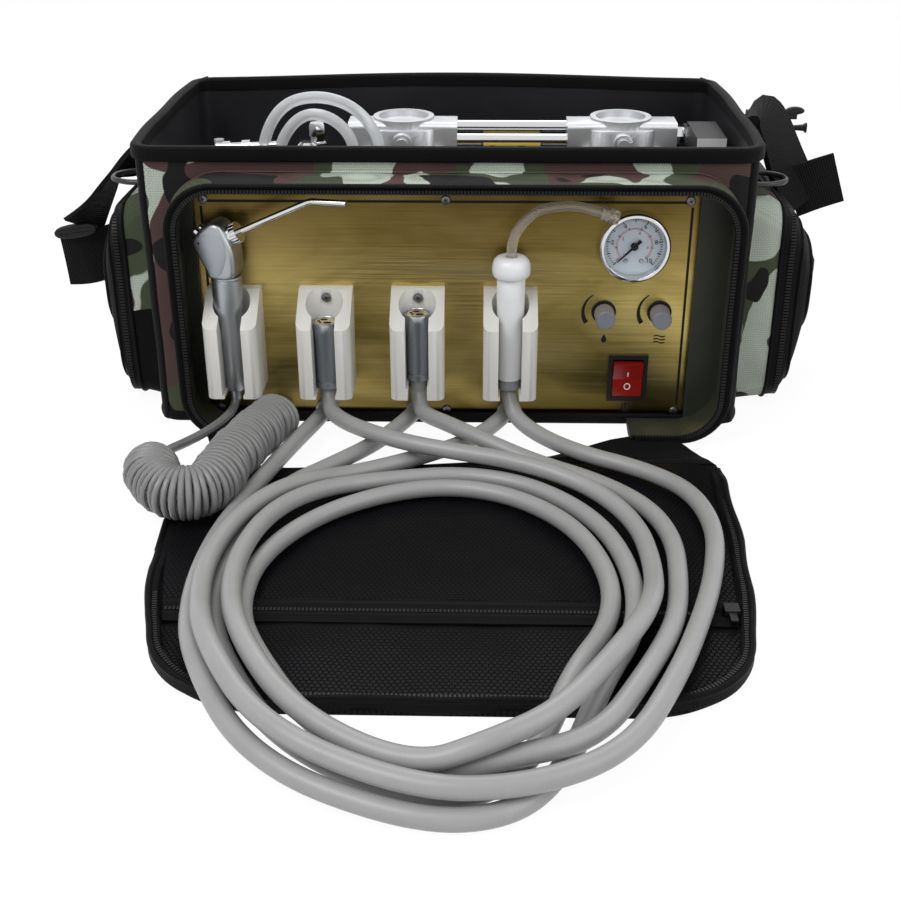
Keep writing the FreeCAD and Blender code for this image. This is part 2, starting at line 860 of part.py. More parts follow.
def syringeNozzle():
    """Bent spray tube that turns in the nut."""
    direction = nozzleDirection()
    start = nutStart() + direction * 2
    bend = nutStart() + direction * nozzleStraight
    end = bend + axisX * nozzleEnd
    solid = tube([tuple(start), tuple(bend), tuple(end)], nozzleRadius, bendRadius=nozzleArc)[0]
    return placeSyringe(solid.cut(rod(end - axisX * 6, axisX, nozzleBore, 7)))


def handpieceConnector(k):
    top = seatZ[k] + connectorLength
    profile = [(connectorRadius, seatZ[k]), (connectorRadius, top - connectorMouthLength * 2),
               (connectorMouth, top - connectorMouthLength), (connectorMouth, top),
               (sealRadius + 0.1, top), (sealRadius + 0.1, top - sealDepth),
               (0, top - sealDepth)]
    solid = instrument(k, profile)
    x = holderX[k]
    groove = rod(V(x, channelY, seatZ[k] + 5), axisZ, connectorRadius + 1, 0.8)
    return solid.cut(groove.cut(rod(V(x, channelY, seatZ[k] + 4), axisZ, connectorRadius - 0.5,
                                    3)))


def connectorSeal(k):
    """Gold insert with two large and two small passages."""
    x = holderX[k]
    low = seatZ[k] + connectorLength - sealDepth
    disc = rod(V(x, channelY, low), axisZ, sealRadius, sealThickness)
    for turn, size in enumerate((1.5, 0.8, 1.5, 0.8)):
        angle = math.radians(45 + 90 * turn)
        place = V(x + sealHoleCircle * math.cos(angle), channelY + sealHoleCircle * math.sin(angle),
                  low - 1)
        disc = disc.cut(rod(place, axisZ, sealHole * size, sealThickness + 2))
    return disc


def suctionTop():
    return seatZ[3] + suctionLength


def suctionHandle():
    top = suctionTop()
    shoulder = seatZ[3] + suctionSocketLength
    profile = [(suctionSocket, seatZ[3]), (suctionSocket, shoulder),
               (suctionFoot - 0.5, shoulder), (suctionFoot, shoulder + 2),
               (suctionFoot + 0.2, holderBottom + funnelLow),
               (suctionRadius, top - 3), (suctionRadius - 2, top), (suctionNeck, top),
               (suctionNeck, top + suctionNeckLength), (0, top + suctionNeckLength)]
    return instrument(3, profile)


def suctionCap():
    """Turned ball that holds the saliva ejector tube."""
    base = suctionTop() + 0.2
    half = capHeight / 2
    ball = []
    for k in range(9):
        lift = -1 + k / 4
        ball.append((capRadius * math.sqrt(max(0.25, 1 - lift * lift)), base + half * (1 + lift)))
    bore = ejectorRadius + ejectorBoreClearance
    neck = suctionNeck + 0.1
    neckTop = suctionTop() + suctionNeckLength + 0.1
    profile = [(neck, base)] + ball + [(bore, base + capHeight), (bore, neckTop), (neck, neckTop)]
    return turned(profile, V(holderX[3], channelY, 0), axisZ)


def ejectorBase():
    return V(holderX[3], channelY, suctionTop() + suctionNeckLength + 0.2)


def ejectorTube():
    """Clear bendable tube, with its ribbed tip pushed over the end."""
    solid, length, radii = tube(ejectorRoute, ejectorRadius, ejectorBase())
    last = V(*ejectorRoute[-1]) + ejectorBase()
    onward = (V(*ejectorRoute[-1]) - V(*ejectorRoute[-2])).normalize()
    start = last - onward * ejectorTipLap
    profile = [(ejectorRadius + 0.05, 0), (ejectorTipRadius, 0)]
    ribs = 4
    step = ejectorTipLength / ribs
    for k in range(ribs):
        profile += [(ejectorTipRadius, step * (k + 0.6)), (ejectorTipRadius - 0.7, step * (k + 0.7)),
                    (ejectorTipRadius - 0.7, step * (k + 0.9)), (ejectorTipRadius, step * (k + 1))]
    profile += [(1.2, ejectorTipLength), (1.2, ejectorTipLap), (ejectorRadius + 0.05, ejectorTipLap)]
    return group([solid, turned(profile, start, onward)])


# Controls

def gaugeCase():
    """Cup with its bezel in front of the panel and its body and stem behind it."""
    deep = gaugeDepth + gaugeProud
    floor = gaugeProud + dialThickness
    profile = [(gaugeWindow, 0), (gaugeBezel - 1, 0), (gaugeBezel, 1), (gaugeBezel, gaugeProud),
               (gaugeBody, gaugeProud), (gaugeBody, deep), (gaugeStem, deep),
               (gaugeStem, deep + gaugeStemLength), (0, deep + gaugeStemLength),
               (0, floor + 3), (needlePin + pinClearance, floor + 3),
               (needlePin + pinClearance, floor), (gaugeWindow, floor)]
    return turned(profile, V(gaugeX, panelFront - gaugeProud, gaugeZ), axisY)


def gaugeDial():
    disc = along(gaugeX, gaugeZ, gaugeWindow - 0.05, panelFront, panelFront + dialThickness)
    return disc.cut(along(gaugeX, gaugeZ, needlePin + 0.3, panelFront - 1, panelFront + 2))


def gaugeNeedle():
    """Tapered pointer at the zero mark, with its hub and the pin that turns in the case."""
    high = panelFront - 2.6
    lean = V(-math.sqrt(0.5), 0, -math.sqrt(0.5))
    side = V(lean.z, 0, -lean.x)
    centre = V(gaugeX, high - needleThickness, gaugeZ)
    tip = centre + lean * needleLength
    tail = centre - lean * needleTail
    corners = [tip + side * 0.2, tip - side * 0.2, tail - side * needleWidth,
               tail + side * needleWidth]
    blade = prism([tuple(c) for c in corners], V(0, needleThickness, 0))
    hub = along(gaugeX, gaugeZ, needleHub, high - 1.2, high + 0.6)
    pin = along(gaugeX, gaugeZ, needlePin, high, panelFront + dialThickness + 2.5)
    return blade.fuse(hub).fuse(pin)


def gaugeLens():
    front = panelFront - gaugeProud + lensInset
    return along(gaugeX, gaugeZ, gaugeWindow - lensClearance, front, front + lensThickness)


def knobFront():
    return panelFront - knobGap - knobLength


def knob(x):
    """Fluted knob with a pointer groove on its face and a blind bore for the stem."""
    solid = along(x, knobZ, knobRadius, knobFront(), panelFront - knobGap)
    for k in range(knobFlutes):
        angle = 2 * math.pi * k / knobFlutes
        solid = solid.cut(along(x + knobRadius * math.cos(angle), knobZ + knobRadius * math.sin(angle),
                                fluteRadius, knobFront() + 1.2, panelFront - knobGap - 1.5))
    solid = solid.cut(along(x, knobZ, stemRadius + 0.05, panelFront - knobGap - knobBore,
                            panelFront))
    return solid.cut(box(x - 0.5, x + 0.5, knobFront() - 1, knobFront() + 0.5,
                         knobZ + 1, knobZ + knobRadius - 1))


def needleValve(x):
    flange = along(x, knobZ, valveFlange, panelFront - valveFlangeThickness, panelFront)
    neck = along(x, knobZ, valveNeck, panelFront - 0.1, panelBack + 0.1)
    stem = along(x, knobZ, stemRadius, panelFront - knobGap - knobBore + 0.5, panelFront)
    half = valveBody / 2
    body = box(x - half, x + half, panelBack, panelBack + valveBodyLength, knobZ - half,
               knobZ + half)
    port = rod(V(x, panelBack + valveBodyLength - 8, knobZ - half - 8), axisZ, 3.5, 8)
    return flange.fuse([neck, stem, body, port]).removeSplitter()


def rockerPivotY():
    return panelFront - rockerProud + rockerThickness - 2.5


def switchBezel():
    half = switchWidth / 2
    tall = switchHeight / 2
    lip = box(switchX - half, switchX + half, panelFront - switchLip, panelFront,
              switchZ - tall, switchZ + tall)
    wide = half - switchLipWidth
    high = tall - switchLipWidth
    body = box(switchX - wide, switchX + wide, panelFront - 0.1, panelBack + switchDepth,
               switchZ - high, switchZ + high)
    solid = lip.fuse(body).removeSplitter()
    clearWide = rockerWidth / 2 + 0.4
    clearHigh = rockerHeight / 2 + rockerWall
    solid = solid.cut(box(switchX - clearWide, switchX + clearWide, panelFront - switchLip - 1,
                          panelFront + rockerPocketDepth, switchZ - clearHigh,
                          switchZ + clearHigh))
    pinHole = rod(V(switchX - clearWide - 1.2, rockerPivotY(), switchZ), axisX,
                  rockerPin + pinClearance, 2 * clearWide + 2.4)
    return solid.cut(pinHole)


def switchRocker():
    """Two flat faces that meet in a shallow valley, tilted to the off position."""
    front = panelFront - rockerProud
    half = rockerHeight / 2
    side = [(front, switchZ - half), (front + 1.4, switchZ), (front, switchZ + half),
            (front + 5, switchZ + half - 0.6), (front + rockerThickness, switchZ + 4),
            (front + rockerThickness, switchZ - 4), (front + 5, switchZ - half + 0.6)]
    left = switchX - rockerWidth / 2
    solid = prism([(left, y, z) for y, z in side], V(rockerWidth, 0, 0))
    pin = rod(V(left - 1.3, rockerPivotY(), switchZ), axisX, rockerPin, rockerWidth + 2.6)
    solid = solid.fuse(pin)
    solid.rotate(V(switchX, rockerPivotY(), switchZ), axisX, rockerTilt)
    return solid


def hoseGland(x):
    nut = along(x, glandZ, glandRadius, glandFront, panelFront)
    return nut.fuse(along(x, glandZ, glandShank, panelFront - 0.1,
                          panelFront + glandShankLength)).removeSplitter()


# Compressor

def cylinderPlaces():
    return [compressorX - cylinderSpacing / 2, compressorX + cylinderSpacing / 2]


def trayTop():
    return floorTop + chassisThickness + mountHeight + trayThickness


def shaftZ():
    return trayTop() + motorRadius + 1


def compressorMotor():
    """Motor drum between the two crankcases on its pressed tray."""
    reach = cylinderSpacing / 2 - crankLength / 2
    drum = rod(V(compressorX - reach, compressorY, shaftZ()), axisX, motorRadius, 2 * reach)
    plate = box(compressorX - trayWidth / 2 - 20, compressorX + trayWidth / 2 + 20,
                compressorY - trayDepth / 2, compressorY + trayDepth / 2,
                trayTop() - trayThickness, trayTop())
    saddle = box(compressorX - reach + 6, compressorX + reach - 6, compressorY - 22,
                 compressorY + 22, trayTop() - 0.5, shaftZ() - 20)
    terminalTop = cylinderTop + 14
    terminal = box(compressorX - 22, compressorX + 22, compressorY - 24, compressorY + 2,
                   shaftZ() + 20, terminalTop)
    solid = drum.fuse([plate, saddle, terminal]).removeSplitter()
    for k in range(-3, 4):
        x = compressorX + k * 11
        band = rod(V(x - 1.5, compressorY, shaftZ()), axisX, motorRadius + 1, 3)
        band = band.cut(rod(V(x - 2, compressorY, shaftZ()), axisX, motorRadius - 1.2, 4))
        keep = box(x - 2, x + 2, compressorY - 60, compressorY + 60, shaftZ() + 14, shaftZ() + 19)
        solid = solid.cut(band.cut(keep))
    for x in mountColumns():
        for y in mountRows():
            solid = solid.cut(rod(V(x, y, trayTop() - trayThickness - 1), axisZ, 3.1,
                                  trayThickness + 2))
    return solid


def mountColumns():
    return [compressorX - mountSpacingX / 2, compressorX + mountSpacingX / 2]


def mountRows():
    return [compressorY - mountSpacingY / 2, compressorY + mountSpacingY / 2]


def rubberMount(x, y):
    """Rubber buffer between chassis and tray with its stud through the tray."""
    low = floorTop + chassisThickness
    profile = [(0, 0), (mountRadius, 0), (mountRadius - 1.5, mountHeight / 2),
               (mountRadius, mountHeight), (3, mountHeight),
               (3, mountHeight + trayThickness), (5, mountHeight + trayThickness),
               (5, mountHeight + trayThickness + 3), (0, mountHeight + trayThickness + 3)]
    return turned(profile, V(x, y, low), axisZ)


def compressorCylinder(x):
    """Crankcase with its finned cylinder. The right one has the bore of the motor shaft."""
    half = crankLength / 2
    crank = box(x - half, x + half, compressorY - crankWidth / 2, compressorY + crankWidth / 2,
                trayTop(), shaftZ() + 24)
    side = 1 if x > compressorX else -1
    barrel = rod(V(x, compressorY, shaftZ() + 20), axisZ, cylinderRadius,
                 cylinderTop - shaftZ() - 20)
    solid = crank.fuse(barrel)
    for k in range(finCount):
        z = cylinderTop - 4 - k * finPitch - finThickness
        solid = solid.fuse(rod(V(x, compressorY, z), axisZ, finRadius, finThickness))
    solid = solid.removeSplitter()
    if side > 0:
        solid = solid.cut(rod(V(x - half + 6, compressorY, shaftZ()), axisX,
                              shaftRadius + shaftClearance, crankLength))
    for mountX in mountColumns():
        for y in mountRows():
            solid = solid.cut(rod(V(mountX, y, trayTop() - 1), axisZ, 6.5, 5))
    return solid


def compressorHead(x):
    """Cast head with ribs, a round cap ring, a plugged front port and a neck each side."""
    half = headWidth / 2
    low = cylinderTop
    plate = roundedPrism(x - half, x + half, compressorY - headDepth / 2,
                         compressorY + headDepth / 2, low, low + headThickness, 8)
    dome = roundedPrism(x - half + 5, x + half - 5, compressorY - headDepth / 2 + 6,
                        compressorY + headDepth / 2 - 6, low + headThickness - 1, headTop, 10)
    ring = rod(V(x, compressorY, headTop - 1), axisZ, capRingRadius, capRingHeight + 1)
    inner = rod(V(x, compressorY, headTop + 2), axisZ, capRingRadius - capRingWall, capRingHeight)
    neckZ = headTop - 8
    neck = box(x - half - 10, x + half + 10, compressorY - 19, compressorY + 8, headTop - 15,
               headTop + 4.5)
    neck = neck.makeFillet(4, [e for e in neck.Edges if e.Length > headWidth])
    port = along(x, neckZ, portRadius, compressorY - headDepth / 2 - 1, compressorY)
    plug = along(x, neckZ, portPlug, compressorY - headDepth / 2 - 4, compressorY)
    solid = plate.fuse([dome, ring, neck, port, plug]).cut(inner)
    for turn in (-1, 1):
        rib = box(x - half + 2, x + half - 2, -2, 2, low + 4, headTop + 2)
        rib.translate(V(0, compressorY, 0))
        rib.rotate(V(x, compressorY, 0), axisZ, turn * 38)
        solid = solid.fuse(rib.cut(inner))
    inward = half + 10 if x < compressorX else -half - 11
    for back, lift in crossoverPlaces:
        near = x + inward - (crossoverLap if x < compressorX else 0)
        solid = solid.cut(rod(V(near, compressorY + back, headTop + lift), axisX,
                              crossoverRadius + 0.05, crossoverLap + 1))
    return solid.removeSplitter()


def crossoverTubes():
    """Two plated tubes that join the heads, each end in its head's neck."""
    left, right = cylinderPlaces()
    start = left + headWidth / 2 + 10 - crossoverLap
    end = right - headWidth / 2 - 10 + crossoverLap
    return group([rod(V(start, compressorY + back, headTop + lift), axisX, crossoverRadius,
                      end - start) for back, lift in crossoverPlaces])


def fanStart():
    return cylinderPlaces()[1] + crankLength / 2 + fanGap


def coolingFan():
    """Fan with its stub shaft, which turns in the right crankcase."""
    x = fanStart()
    shaft = rod(V(x - 30, compressorY, shaftZ()), axisX, shaftRadius, 31)
    hub = rod(V(x, compressorY, shaftZ()), axisX, fanHub, fanThickness)
    solid = hub.fuse(shaft)
    for k in range(fanBlades):
        blade = box(x + 1, x + fanThickness - 1, compressorY - fanBladeThickness / 2,
                    compressorY + fanBladeThickness / 2, shaftZ() + fanHub - 1,
                    shaftZ() + fanRadius)
        blade.rotate(V(x + fanThickness / 2, compressorY, shaftZ() + fanHub), axisZ, 35)
        blade.rotate(V(x, compressorY, shaftZ()), axisX, 360 / fanBlades * k)
        solid = solid.fuse(blade)
    return solid


def pressureSwitch():
    """Switch box on its union at the right head's port, joined by an elbow block."""
    start = cylinderPlaces()[1] + headWidth / 2 + 10
    z = headTop - 6
    union = rod(V(start, compressorY - 5, z), axisX, unionRadius, unionLength + 2)
    corners = [V(start + 0.5, compressorY - 5 + 7 * math.cos(math.radians(60 * k)),
                 z + 7 * math.sin(math.radians(60 * k))) for k in range(7)]
    nut = Part.Face(Part.makePolygon(corners)).extrude(V(5, 0, 0))
    left = start + unionLength
    back = compressorY - 17
    elbow = box(left, left + 12, back - 1, compressorY + 3, z - 6, z + 6)
    case = box(left, left + pressureSwitchWidth, back - pressureSwitchDepth, back,
               headTop + 6 - pressureSwitchHeight, headTop + 6)
    return union.fuse([nut, elbow, case]).removeSplitter()


# Receiver, manifold, tubes and bottle

def airTank():
    profile = [(0, 0), (tankRadius - 6, 0), (tankRadius, tankDome), (tankRadius, tankTop - tankDome),
               (tankRadius - 8, tankTop), (0, tankTop)]
    low = floorTop + chassisThickness
    scaled = [(r, low if h == 0 else h) for r, h in profile]
    tank = turned(scaled, V(tankX, tankY, 0), axisZ)
    neckEnd = manifoldY + manifoldDepth / 2
    neck = along(tankX, manifoldZ + manifoldHeight / 2, manifoldHeight / 2 - 0.5, neckEnd, tankY)
    return tank.fuse(neck)


def tubeSpans():
    return [(tubeOuterSpan, tubeTop - tubeRadius), (tubeInnerSpan, tubeTop - tubeRadius - tubeStep)]


def airManifold():
    """Bar with a barb for each tube end, and the relief valve between them."""
    low = manifoldZ
    top = low + manifoldHeight
    bar = box(tankX - manifoldWidth / 2, tankX + manifoldWidth / 2,
              manifoldY - manifoldDepth / 2, manifoldY + manifoldDepth / 2, low, top)
    parts = []
    for span, apex in tubeSpans():
        for x in (tankX - span / 2, tankX + span / 2):
            parts.append(rod(V(x, manifoldY, top - 0.5), axisZ, barbRadius, barbHeight + 0.5))
    cap = reliefRadius - 1
    valve = [(0, top - 0.5), (5, top - 0.5), (5, top + 30), (cap, top + 30), (cap, reliefTop - 2),
             (cap - 2, reliefTop), (0, reliefTop)]
    parts.append(turned(valve, V(tankX, manifoldY, 0), axisZ))
    hexagon = [V(tankX + reliefRadius * math.cos(math.radians(60 * k)),
                 manifoldY + reliefRadius * math.sin(math.radians(60 * k)), top + 14)
               for k in range(7)]
    parts.append(Part.Face(Part.makePolygon(hexagon)).extrude(V(0, 0, 10)))
    return bar.fuse(parts).removeSplitter()


def siliconeTube(span, apex):
    """Bent over like an arch, from one barb to the other."""
    low = manifoldZ + manifoldHeight + barbHeight
    half = span / 2
    spring = apex - half
    left = V(tankX - half, manifoldY, low)
    right = V(tankX + half, manifoldY, low)
    top = V(tankX, manifoldY, apex)
    edges = [Part.LineSegment(left, V(left.x, left.y, spring)).toShape(),
             Part.Arc(V(left.x, left.y, spring), top, V(right.x, right.y, spring)).toShape(),
             Part.LineSegment(V(right.x, right.y, spring), right).toShape()]
    wire = Part.Wire(edges)
    ring = Part.Wire(Part.Circle(left, axisZ, tubeRadius).toShape())
    return wire.makePipeShell([ring], True, True)


def waterBottle():
    """Pressurised bottle, its screw cap and the nipple of its feed tube."""
    low = floorTop + chassisThickness
    outer = [(0, low), (bottleRadius, low), (bottleRadius, bottleShoulder),
             (bottleNeck, bottleTop), (bottleNeck, bottleTop + 6)]
    inner = [(bottleNeck - bottleWall, bottleTop + 6), (bottleNeck - bottleWall, bottleTop),
             (bottleRadius - bottleWall, bottleShoulder), (bottleRadius - bottleWall,
                                                            low + bottleWall), (0, low + bottleWall)]
    bottle = turned(outer + inner, V(bottleX, bottleY, 0), axisZ)
    capLow = bottleTop + 6
    cap = [(0, capLow), (bottleNeck + 2.5, capLow), (bottleNeck + 2.5, capLow + bottleCapHeight),
           (3.5, capLow + bottleCapHeight), (3.5, bottleNippleTop), (0, bottleNippleTop)]
    return group([bottle, turned(cap, V(bottleX, bottleY, 0), axisZ)])


def powerInlet():
    wide = inletWidth / 2
    high = inletHeight / 2
    flange = box(inletX - wide - inletFlange, inletX + wide + inletFlange, rearFace,
                 rearFace + inletFlangeThickness, inletZ - high - inletFlange / 2,
                 inletZ + high + inletFlange / 2)
    body = box(inletX - wide, inletX + wide, rearFace - inletDepth, rearFace + 0.1,
               inletZ - high, inletZ + high)
    solid = flange.fuse(body).removeSplitter()
    back = rearFace + inletFlangeThickness
    solid = solid.cut(box(inletX - inletSocketWidth / 2, inletX + inletSocketWidth / 2,
                          back - inletSocketDepth, back + 1,
                          inletZ - inletSocketHeight / 2, inletZ + inletSocketHeight / 2))
    for offset in (-inletPinPitch, 0, inletPinPitch):
        lift = 2.0 if offset == 0 else -2.0
        solid = solid.fuse(along(inletX + offset, inletZ + lift, inletPinRadius,
                                 back - inletSocketDepth - 0.5,
                                 back - inletSocketDepth + inletPinLength))
    return solid


# Side pockets and straps

def pocketProfile(inset):
    """Half of a D in the front plane: widest below its top, drawn in at its foot."""
    wall = bagWidth / 2
    out = pocketBulge - inset
    low = pocketBottom + inset
    high = pocketTop - inset
    tall = high - low
    near = inset * 0.6
    return [(wall + near, low), (wall + near, high), (wall + out * 0.5, high - 2.5),
            (wall + out * 0.84, high - tall * 0.13), (wall + out, high - tall * 0.32),
            (wall + out * 0.99, high - tall * 0.6), (wall + out * 0.84, low + tall * 0.16),
            (wall + out * 0.55, low + 1)]


def sidePocket(side):
    half = pocketDepth / 2
    outer = prism([(side * x, -half, z) for x, z in pocketProfile(0)], V(0, pocketDepth, 0))
    inner = prism([(side * x, -half + pocketWall, z) for x, z in pocketProfile(pocketWall)],
                  V(0, pocketDepth - 2 * pocketWall, 0))
    solid = outer.cut(inner)
    mouth = side * (bagWidth / 2 + pocketBulge * 0.45)
    low, high = sorted((mouth, mouth + side * pocketSlit))
    slit = box(low, high, -half + 12, half - 12, pocketTop - 12, pocketTop + 1)
    return solid.cut(slit)


def ringBar(side):
    """Middle of the D-ring's straight bar."""
    return V(side * (bagWidth / 2 + 6), strapY, pocketTop + 8)


def strapProfile(side):
    """Webbing in the front plane: over the pocket's shoulder and down beside it."""
    wall = bagWidth / 2
    top = bagHeight - 11
    t = strapThickness
    if side < 0:
        return [(wall, top - 3), (wall + 30, top - 7), (wall + 57, top - 25),
                (wall + 70, top - 49), (wall + 88, top - 75), (wall + 88 - t, top - 78),
                (wall + 66, top - 52), (wall + 53, top - 28.5), (wall + 28.5, top - 11),
                (wall, top - 3 - t)]
    return [(wall, top), (wall + 24, top - 1), (wall + 48, top - 17), (wall + 76, top - 29),
            (wall + 75, top - 33), (wall + 46, top - 21), (wall + 22.5, top - 5),
            (wall, top - t)]


def strap(side):
    """Folded shoulder strap with the tube of webbing that carries the D-ring."""
    start = strapY + strapWidth / 2 + 6 if side < 0 else -strapWidth / 2
    profile = strapProfile(side)
    webbing = prism([(side * x, start, z) for x, z in profile], V(0, strapWidth, 0))
    bar = ringBar(side)
    keeper = rod(V(bar.x, bar.y - ringWidth / 2 + 3, bar.z), axisY, ringWire + 2.4, ringWidth - 6)
    wall = side * bagWidth / 2
    low, high = sorted((wall, bar.x))
    keeper = keeper.fuse(box(low, high, bar.y - ringWidth / 2 + 3, bar.y + ringWidth / 2 - 3,
                             bar.z - 2, bar.z + 2))
    keeper = keeper.cut(rod(V(bar.x, bar.y - ringWidth, bar.z), axisY, ringWire + ringClearance,
                            2 * ringWidth))
    keeper = keeper.cut(box(-bagWidth / 2, bagWidth / 2, -bagDepth, bagDepth, 0, bagHeight))
    return group([webbing, keeper])


def dRing(side):
    """Steel ring lying outwards over the pocket's shoulder, its bar in the keeper."""
    bar = ringBar(side)
    half = ringWidth / 2
    out = side * ringDrop
    corners = [(bar.x, bar.y - half, bar.z), (bar.x + out * 0.45, bar.y - half, bar.z),
               (bar.x + out, bar.y - half * 0.5, bar.z), (bar.x + out, bar.y + half * 0.5, bar.z),
               (bar.x + out * 0.45, bar.y + half, bar.z), (bar.x, bar.y + half, bar.z)]
    bow = tube(corners, ringBow)[0]
    straight = rod(V(bar.x, bar.y - half - ringWire, bar.z), axisY, ringWire,
                   ringWidth + 2 * ringWire)
    return straight.fuse(bow)


def strapBuckle():
    """Male half of a side release buckle, on edge: body, two barbed prongs and a middle pin."""
    x = bagWidth / 2 + 16
    y = strapWidth / 2 + 25
    z = bagHeight - 21
    half = buckleWidth / 2
    thick = buckleThickness / 2
    body = box(x, x + 14, y - thick, y + thick, z - half, z + half)
    prongs = []
    for offset in (-half + 2, half - 6):
        prongs.append(box(x + 13, x + 36, y - thick + 1, y + thick - 1, z + offset, z + offset + 4))
        barb = offset - 2 if offset < 0 else offset + 2
        prongs.append(box(x + 26, x + 34, y - thick + 1, y + thick - 1, z + barb, z + barb + 4))
    pin = box(x + 13, x + 30, y - thick + 2, y + thick - 2, z - 2, z + 2)
    loop = box(bagWidth / 2, x + 0.5, y - 1.8, y + 1.8, z - half + 2, z + half - 5)
    return body.fuse(prongs + [pin, loop]).removeSplitter()


left, right = cylinderPlaces()
coil = hose("syringe_coil", coilRoute, coilRadius)
nodes = {
    "bag_shell": bagShell(),
    "bag_lining": bagLining(),
    "rim_binding": rimBinding(),
    "front_gusset": frontGusset(),
    "front_door": wholeTray().common(doorSpan()),
    "door_pocket": doorPocket(),
    "zip_slider": zipSlider(),
    "door_flap": wholeTray().common(flapSpan()),
    "top_lid": topLid(),
    "chassis": chassis(),
    "front_panel": frontPanel(),
    "panel_screws": panelScrews(),
    "syringe_holder": holder(0),
    "handpiece_holder_1": holder(1),
    "handpiece_holder_2": holder(2),
    "suction_holder": holder(3),
    "syringe_body": syringeBody(),
    "syringe_air_button": syringeButton(buttonSpacing / 2),
    "syringe_water_button": syringeButton(-buttonSpacing / 2),
    "nozzle_nut": nozzleNut(),
    "syringe_nozzle": syringeNozzle(),
    "handpiece_connectors": group([handpieceConnector(k) for k in (1, 2)]),
    "connector_seals": group([connectorSeal(k) for k in (1, 2)]),
    "suction_handle": suctionHandle(),
    "suction_cap": suctionCap(),
    "ejector_tube": ejectorTube(),
    "gauge_case": gaugeCase(),
    "gauge_dial": gaugeDial(),
    "gauge_needle": gaugeNeedle(),
    "gauge_lens": gaugeLens(),
    "water_knob": knob(knobX[0]),
    "air_knob": knob(knobX[1]),
    "needle_valves": group([needleValve(x) for x in knobX]),
    "switch_bezel": switchBezel(),
    "switch_rocker": switchRocker(),
    "hose_glands": group([hoseGland(x) for x in glandPlaces()]),
    "handpiece_hose_1": hose("handpiece_hose_1", handpieceRoute1, hoseRadius,
                             [glandTrim(handpieceRoute1), tailTrim(handpieceRoute1, tailEnd)]),
    "handpiece_hose_2": hose("handpiece_hose_2", handpieceRoute2, hoseRadius,
                             [glandTrim(handpieceRoute2), tailTrim(handpieceRoute2, tailEnd)]),
    "suction_hose": hose("suction_hose", suctionRoute, hoseRadius,
                         [glandTrim(suctionRoute), tailTrim(suctionRoute, tailEnd)]),
    "syringe_coil": coil,
    "syringe_lead": group([hose("syringe_lead", leadRoute, leadRadius,
                                [coil, tailTrim(leadRoute, syringeFoot)]),
                           hose("gland_lead", glandLeadRoute, leadRadius,
                                [coil, glandTrim(glandLeadRoute)])]),
    "compressor_motor": compressorMotor(),
    "compressor_cylinders": group([compressorCylinder(left), compressorCylinder(right)]),
    "compressor_heads": group([compressorHead(left), compressorHead(right)]),
    "crossover_tubes": crossoverTubes(),
    "rubber_mounts": group([rubberMount(x, y) for x in mountColumns() for y in mountRows()]),
    "cooling_fan": coolingFan(),
    "pressure_switch": pressureSwitch(),
    "air_tank": airTank(),
    "air_manifold": airManifold(),
    "silicone_tubes": group([siliconeTube(span, apex) for span, apex in tubeSpans()]),
    "water_bottle": waterBottle(),
    "power_inlet": powerInlet(),
    "left_side_pocket": sidePocket(-1),
    "right_side_pocket": sidePocket(1),
    "left_strap": strap(-1),
    "right_strap": strap(1),
    "left_d_ring": dRing(-1),
    "right_d_ring": dRing(1),
    "strap_buckle": strapBuckle(),
}

os.makedirs("parts", exist_ok=True)
for name, shape in nodes.items():
    shape.exportStep("parts/" + name + ".step")
    print(name, "solids", len(shape.Solids), "volume", round(shape.Volume), shape.isValid())
print(len(nodes), "nodes")
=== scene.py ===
import bpy
import bmesh
import json
import math
import numpy as np
from mathutils import Matrix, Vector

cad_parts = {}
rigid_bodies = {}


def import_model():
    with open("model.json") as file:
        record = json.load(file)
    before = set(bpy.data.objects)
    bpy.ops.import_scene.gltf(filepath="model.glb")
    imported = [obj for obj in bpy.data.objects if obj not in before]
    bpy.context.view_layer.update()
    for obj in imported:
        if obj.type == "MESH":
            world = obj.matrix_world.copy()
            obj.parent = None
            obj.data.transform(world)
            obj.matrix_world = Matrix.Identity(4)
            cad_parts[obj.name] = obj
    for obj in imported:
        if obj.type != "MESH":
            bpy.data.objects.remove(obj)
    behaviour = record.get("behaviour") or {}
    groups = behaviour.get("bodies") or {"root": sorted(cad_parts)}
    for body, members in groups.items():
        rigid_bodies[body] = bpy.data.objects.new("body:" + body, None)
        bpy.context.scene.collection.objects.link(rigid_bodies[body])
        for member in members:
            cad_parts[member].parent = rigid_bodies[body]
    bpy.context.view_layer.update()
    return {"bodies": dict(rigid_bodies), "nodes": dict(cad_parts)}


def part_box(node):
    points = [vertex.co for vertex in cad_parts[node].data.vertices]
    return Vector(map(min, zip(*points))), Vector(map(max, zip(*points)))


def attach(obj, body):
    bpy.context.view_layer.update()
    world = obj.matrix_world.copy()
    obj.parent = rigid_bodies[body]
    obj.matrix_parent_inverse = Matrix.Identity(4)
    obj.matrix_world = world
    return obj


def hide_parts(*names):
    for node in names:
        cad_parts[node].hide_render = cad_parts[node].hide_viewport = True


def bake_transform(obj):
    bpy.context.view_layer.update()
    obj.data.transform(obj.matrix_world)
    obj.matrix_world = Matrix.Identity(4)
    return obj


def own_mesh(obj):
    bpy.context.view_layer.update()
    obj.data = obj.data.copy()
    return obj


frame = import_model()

# Portable dental unit in a soft camouflage bag. Metres, +X right along the panel, -Y to the user.

nodes = frame["nodes"]
scene = bpy.context.scene
fullTurn = 2 * math.pi


# Mesh helpers. A shape is a dictionary of points, faces, a material number for each face, and a
# place on the cloth for each point.

